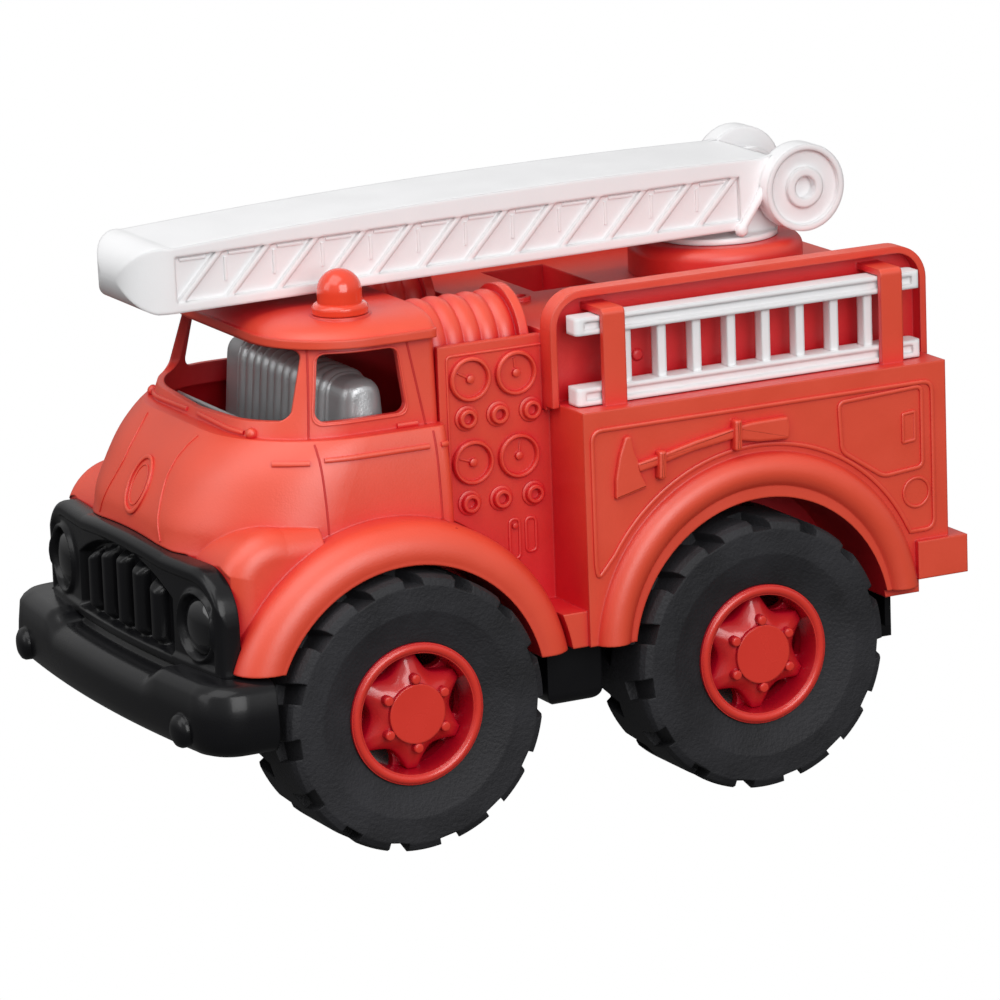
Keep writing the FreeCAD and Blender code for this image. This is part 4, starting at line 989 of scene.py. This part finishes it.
def star_wave(radius, angle):
    """Share of the way from the cap: 1 on the arms, less by a scallop in |cos 3 angle| between."""
    scallop = np.clip((np.abs(np.cos(arms / 2 * angle)) - 0.3) / 0.7, 0, 1) ** 0.8
    return cap_radius + (radius - cap_radius) * (1 - 0.55 * scallop)


def wheel_centre(middle):
    """Star, lip and a ring of pegs, turned about the axle through a point on the hub's face."""
    parts = [turned(STAR, middle, LEFTWARD, 144, star_wave),
             turned(LIP, middle, LEFTWARD, 72, closed=True)]
    for i in range(arms):
        lean = np.radians((i + 0.5) * 360.0 / arms)
        at = middle + [-0.5, peg_circle * np.cos(lean), peg_circle * np.sin(lean)]
        parts.append(turned(PEG, at, LEFTWARD, 16))
    return gather(*parts)


for end in ("front", "rear"):
    hub_low, hub_high = node_box(end + "_hub_left")
    middle = (hub_low + hub_high) / 2
    middle[0] = hub_high[0]
    both_sides(end + "_star", wheel_centre(middle), RED_GLOSS, end + "_wheels")

# %% [markdown]
# ## Marks in the boom's truss
# Each cell of the boom's truss has a short line along its top and one down its back. They are
# dropped on the boom, so they follow its slight lean, and they ride on it. Points are (back from
# the boom's tip, up from its highest point).

# %% Boom cells
boom_corner = np.array([boom_low[1], boom_high[2]])
truss_start, truss_end, cells = 13.08, 207.38, 12


def boom_line(outline):
    """Thin line dropped on the boom's left side, with close points for its short length."""
    return line_on_side(outline, 0.8 * LINE, boom_corner, "main_ladder", 0.85)


cell_ends = np.linspace(truss_start, truss_end, cells + 1)[1:]
marks = []
for y in cell_ends:
    level = -11.9 + 0.0105 * (y - 22.88)
    marks.append(boom_line([[y - 13.6, level], [y - 5.0, level]]))
    if y < cell_ends[-1]:
        marks.append(boom_line([[y + 1.5, level - 0.8], [y + 1.5, level - 8.0]]))
piece("boom_marks", paired(gather(*marks)), WHITE_FINE, "boom")

# %% [markdown]
# ## Heel ribs and rack bolts
# A round rib with a knob at each end stiffens each side of the boom's heel, and the rack wall has
# one small bolt. The rib is a circle carried along a straight path.

# %% Heel ribs and rack bolts
RIB_KNOB = np.array([[0.0, -2.0], [1.4, -1.6], [2.0, -0.8], [2.1, 0.0], [2.0, 0.8], [1.4, 1.6],
                     [0.0, 2.0]])
BOLT = np.array([[1.9, -0.5], [1.9, 0.7], [1.4, 1.2], [0.0, 1.4]])
rib_foot = boom_high + [-4.3, -34.99, -25.6]
rib_head = boom_high + [-4.3, -22.59, -7.7]
rib = gather(swept(np.linspace(rib_foot, rib_head, 6), 1.4 * circle(16), LEFTWARD),
             turned(RIB_KNOB, rib_foot, LEFTWARD, 20), turned(RIB_KNOB, rib_head, LEFTWARD, 20))
piece("heel_ribs", paired(rib), WHITE, "boom")
bolt = turned(BOLT, [rack_x, panel_front + 29.3, panel_top + 11.1], LEFTWARD, 20)
piece("rack_bolts", paired(bolt), RED_BODY)

# %% [markdown]
# ## Beacon rings
# Each beacon stands in a fat, soft ring. A torus is round in section and this ring is a little
# flatter, so it is an oval turned about the beacon's own axis.

# %% Beacon rings
for side in ("left", "right"):
    lamp_low, lamp_high = node_box("beacon_" + side)
    flange = (lamp_high[0] - lamp_low[0]) / 2
    section = [flange - 1.8, 1.6] + circle(20) * [1.8, 1.6]
    foot = (lamp_low + lamp_high) / 2
    foot[2] = lamp_low[2]
    piece("beacon_ring_" + side, turned(section, foot, UPWARD, 56, closed=True), RED_LAMP)

# %% [markdown]
# ## Turning a camera or a lamp
# A camera and a lamp both look along their own -Z axis. Their three axes are worked out from two
# angles, and that is all that it takes to point them, with no Track To constraint to keep alive.

# %% Axes from two angles
def camera_axes(azimuth, elevation, roll):
    """Right, up and back: right lies level, back points at the viewer, and both turn by roll."""
    right = np.array([np.cos(azimuth), np.sin(azimuth), 0.0])
    back = np.array([np.sin(azimuth) * np.cos(elevation), -np.cos(azimuth) * np.cos(elevation),
                     np.sin(elevation)])
    up = np.cross(back, right)
    return (np.cos(roll) * right + np.sin(roll) * up,
            -np.sin(roll) * right + np.cos(roll) * up, back)


def stand(obj, place, axes):
    """Put a camera or lamp at a place, with its own X, Y and Z along three directions."""
    matrix = np.eye(4)
    matrix[:3, :3] = np.array(axes).T
    matrix[:3, 3] = place
    obj.matrix_world = Matrix(matrix.tolist())
    bpy.context.scene.collection.objects.link(obj)


# %% [markdown]
# ## The camera
# The toy is seen from its front left corner and a little from above. A long lens keeps parallel
# edges nearly parallel, so the camera stands well back. It is rolled by two degrees, which makes
# the uprights lean a little. Distances are in metres from here on.

# %% Camera
AZIMUTH, ELEVATION, ROLL = np.radians([63.42, 13.69, -2.15])
CAMERA_DISTANCE = 1.834
LENS_MM, SENSOR_MM = 210.19, 36.0
AIM = np.array([0.0, 0.00805, 0.08314])

view_axes = camera_axes(AZIMUTH, ELEVATION, ROLL)
camera_data = bpy.data.cameras.new("portrait_camera")
camera_data.lens = LENS_MM
camera_data.sensor_width = SENSOR_MM
camera_data.clip_end = 20.0
camera = bpy.data.objects.new("portrait_camera", camera_data)
stand(camera, AIM + view_axes[2] * CAMERA_DISTANCE, view_axes)
bpy.context.scene.camera = camera
print("camera at", [round(v, 3) for v in camera.location])

# %% [markdown]
# ## Studio world
# The toy stands in a white studio: light comes from everywhere above and less from below. The
# world is brighter towards its top, and the camera alone sees it as plain white. There is no
# floor, so no shadow falls below the toy.

# %% World
def studio_world():
    """Background strength rises with the height of the direction; camera rays see white."""
    world = bpy.data.worlds.new("studio")
    bpy.context.scene.world = world
    world.use_nodes = True
    tree = world.node_tree
    tree.nodes.clear()
    direction = node(tree, "ShaderNodeTexCoord").outputs["Generated"]
    height = node(tree, "ShaderNodeSeparateXYZ", [("Vector", direction)]).outputs["Z"]
    strength = node(tree, "ShaderNodeMapRange", [("Value", height), ("From Min", -0.15),
                                                 ("From Max", 0.35), ("To Min", 0.09),
                                                 ("To Max", 0.52)])
    soft = node(tree, "ShaderNodeBackground", [("Color", (1, 1, 1, 1)),
                                               ("Strength", strength.outputs[0])])
    plain = node(tree, "ShaderNodeBackground", [("Color", (1, 1, 1, 1)), ("Strength", 1.0)])
    seen = node(tree, "ShaderNodeLightPath").outputs["Is Camera Ray"]
    mix = node(tree, "ShaderNodeMixShader", [(0, seen), (1, soft.outputs[0]), (2, plain.outputs[0])])
    node(tree, "ShaderNodeOutputWorld", [("Surface", mix.outputs[0])])


studio_world()

# %% [markdown]
# ## Three soft lamps
# Broad lamps shape the toy with soft highlights: one high over the bonnet, a weak one low in
# front, and the strongest at the side that the camera sees, which lights the panels and wheels.

# %% Lamps
LAMPS = [  # name, azimuth and elevation in degrees, distance and size in metres, power in watts
    ("overhead_softbox", 20.0, 62.0, 1.1, 0.9, 4.9),
    ("front_softbox", -5.0, 25.0, 1.2, 0.6, 1.8),
    ("side_softbox", 84.0, 24.0, 1.4, 0.9, 10.5),
]


def soft_lamp(name, azimuth, elevation, distance, size, power):
    """Square area lamp that faces the toy's middle from two angles."""
    right, up, back = camera_axes(np.radians(azimuth), np.radians(elevation), 0.0)
    data = bpy.data.lights.new(name, "AREA")
    data.size = size
    data.energy = power
    stand(bpy.data.objects.new(name, data), AIM + back * distance, (right, up, back))


for lamp in LAMPS:
    soft_lamp(*lamp)
bpy.context.scene.view_settings.view_transform = "Standard"
print(len(LAMPS), "lamps")
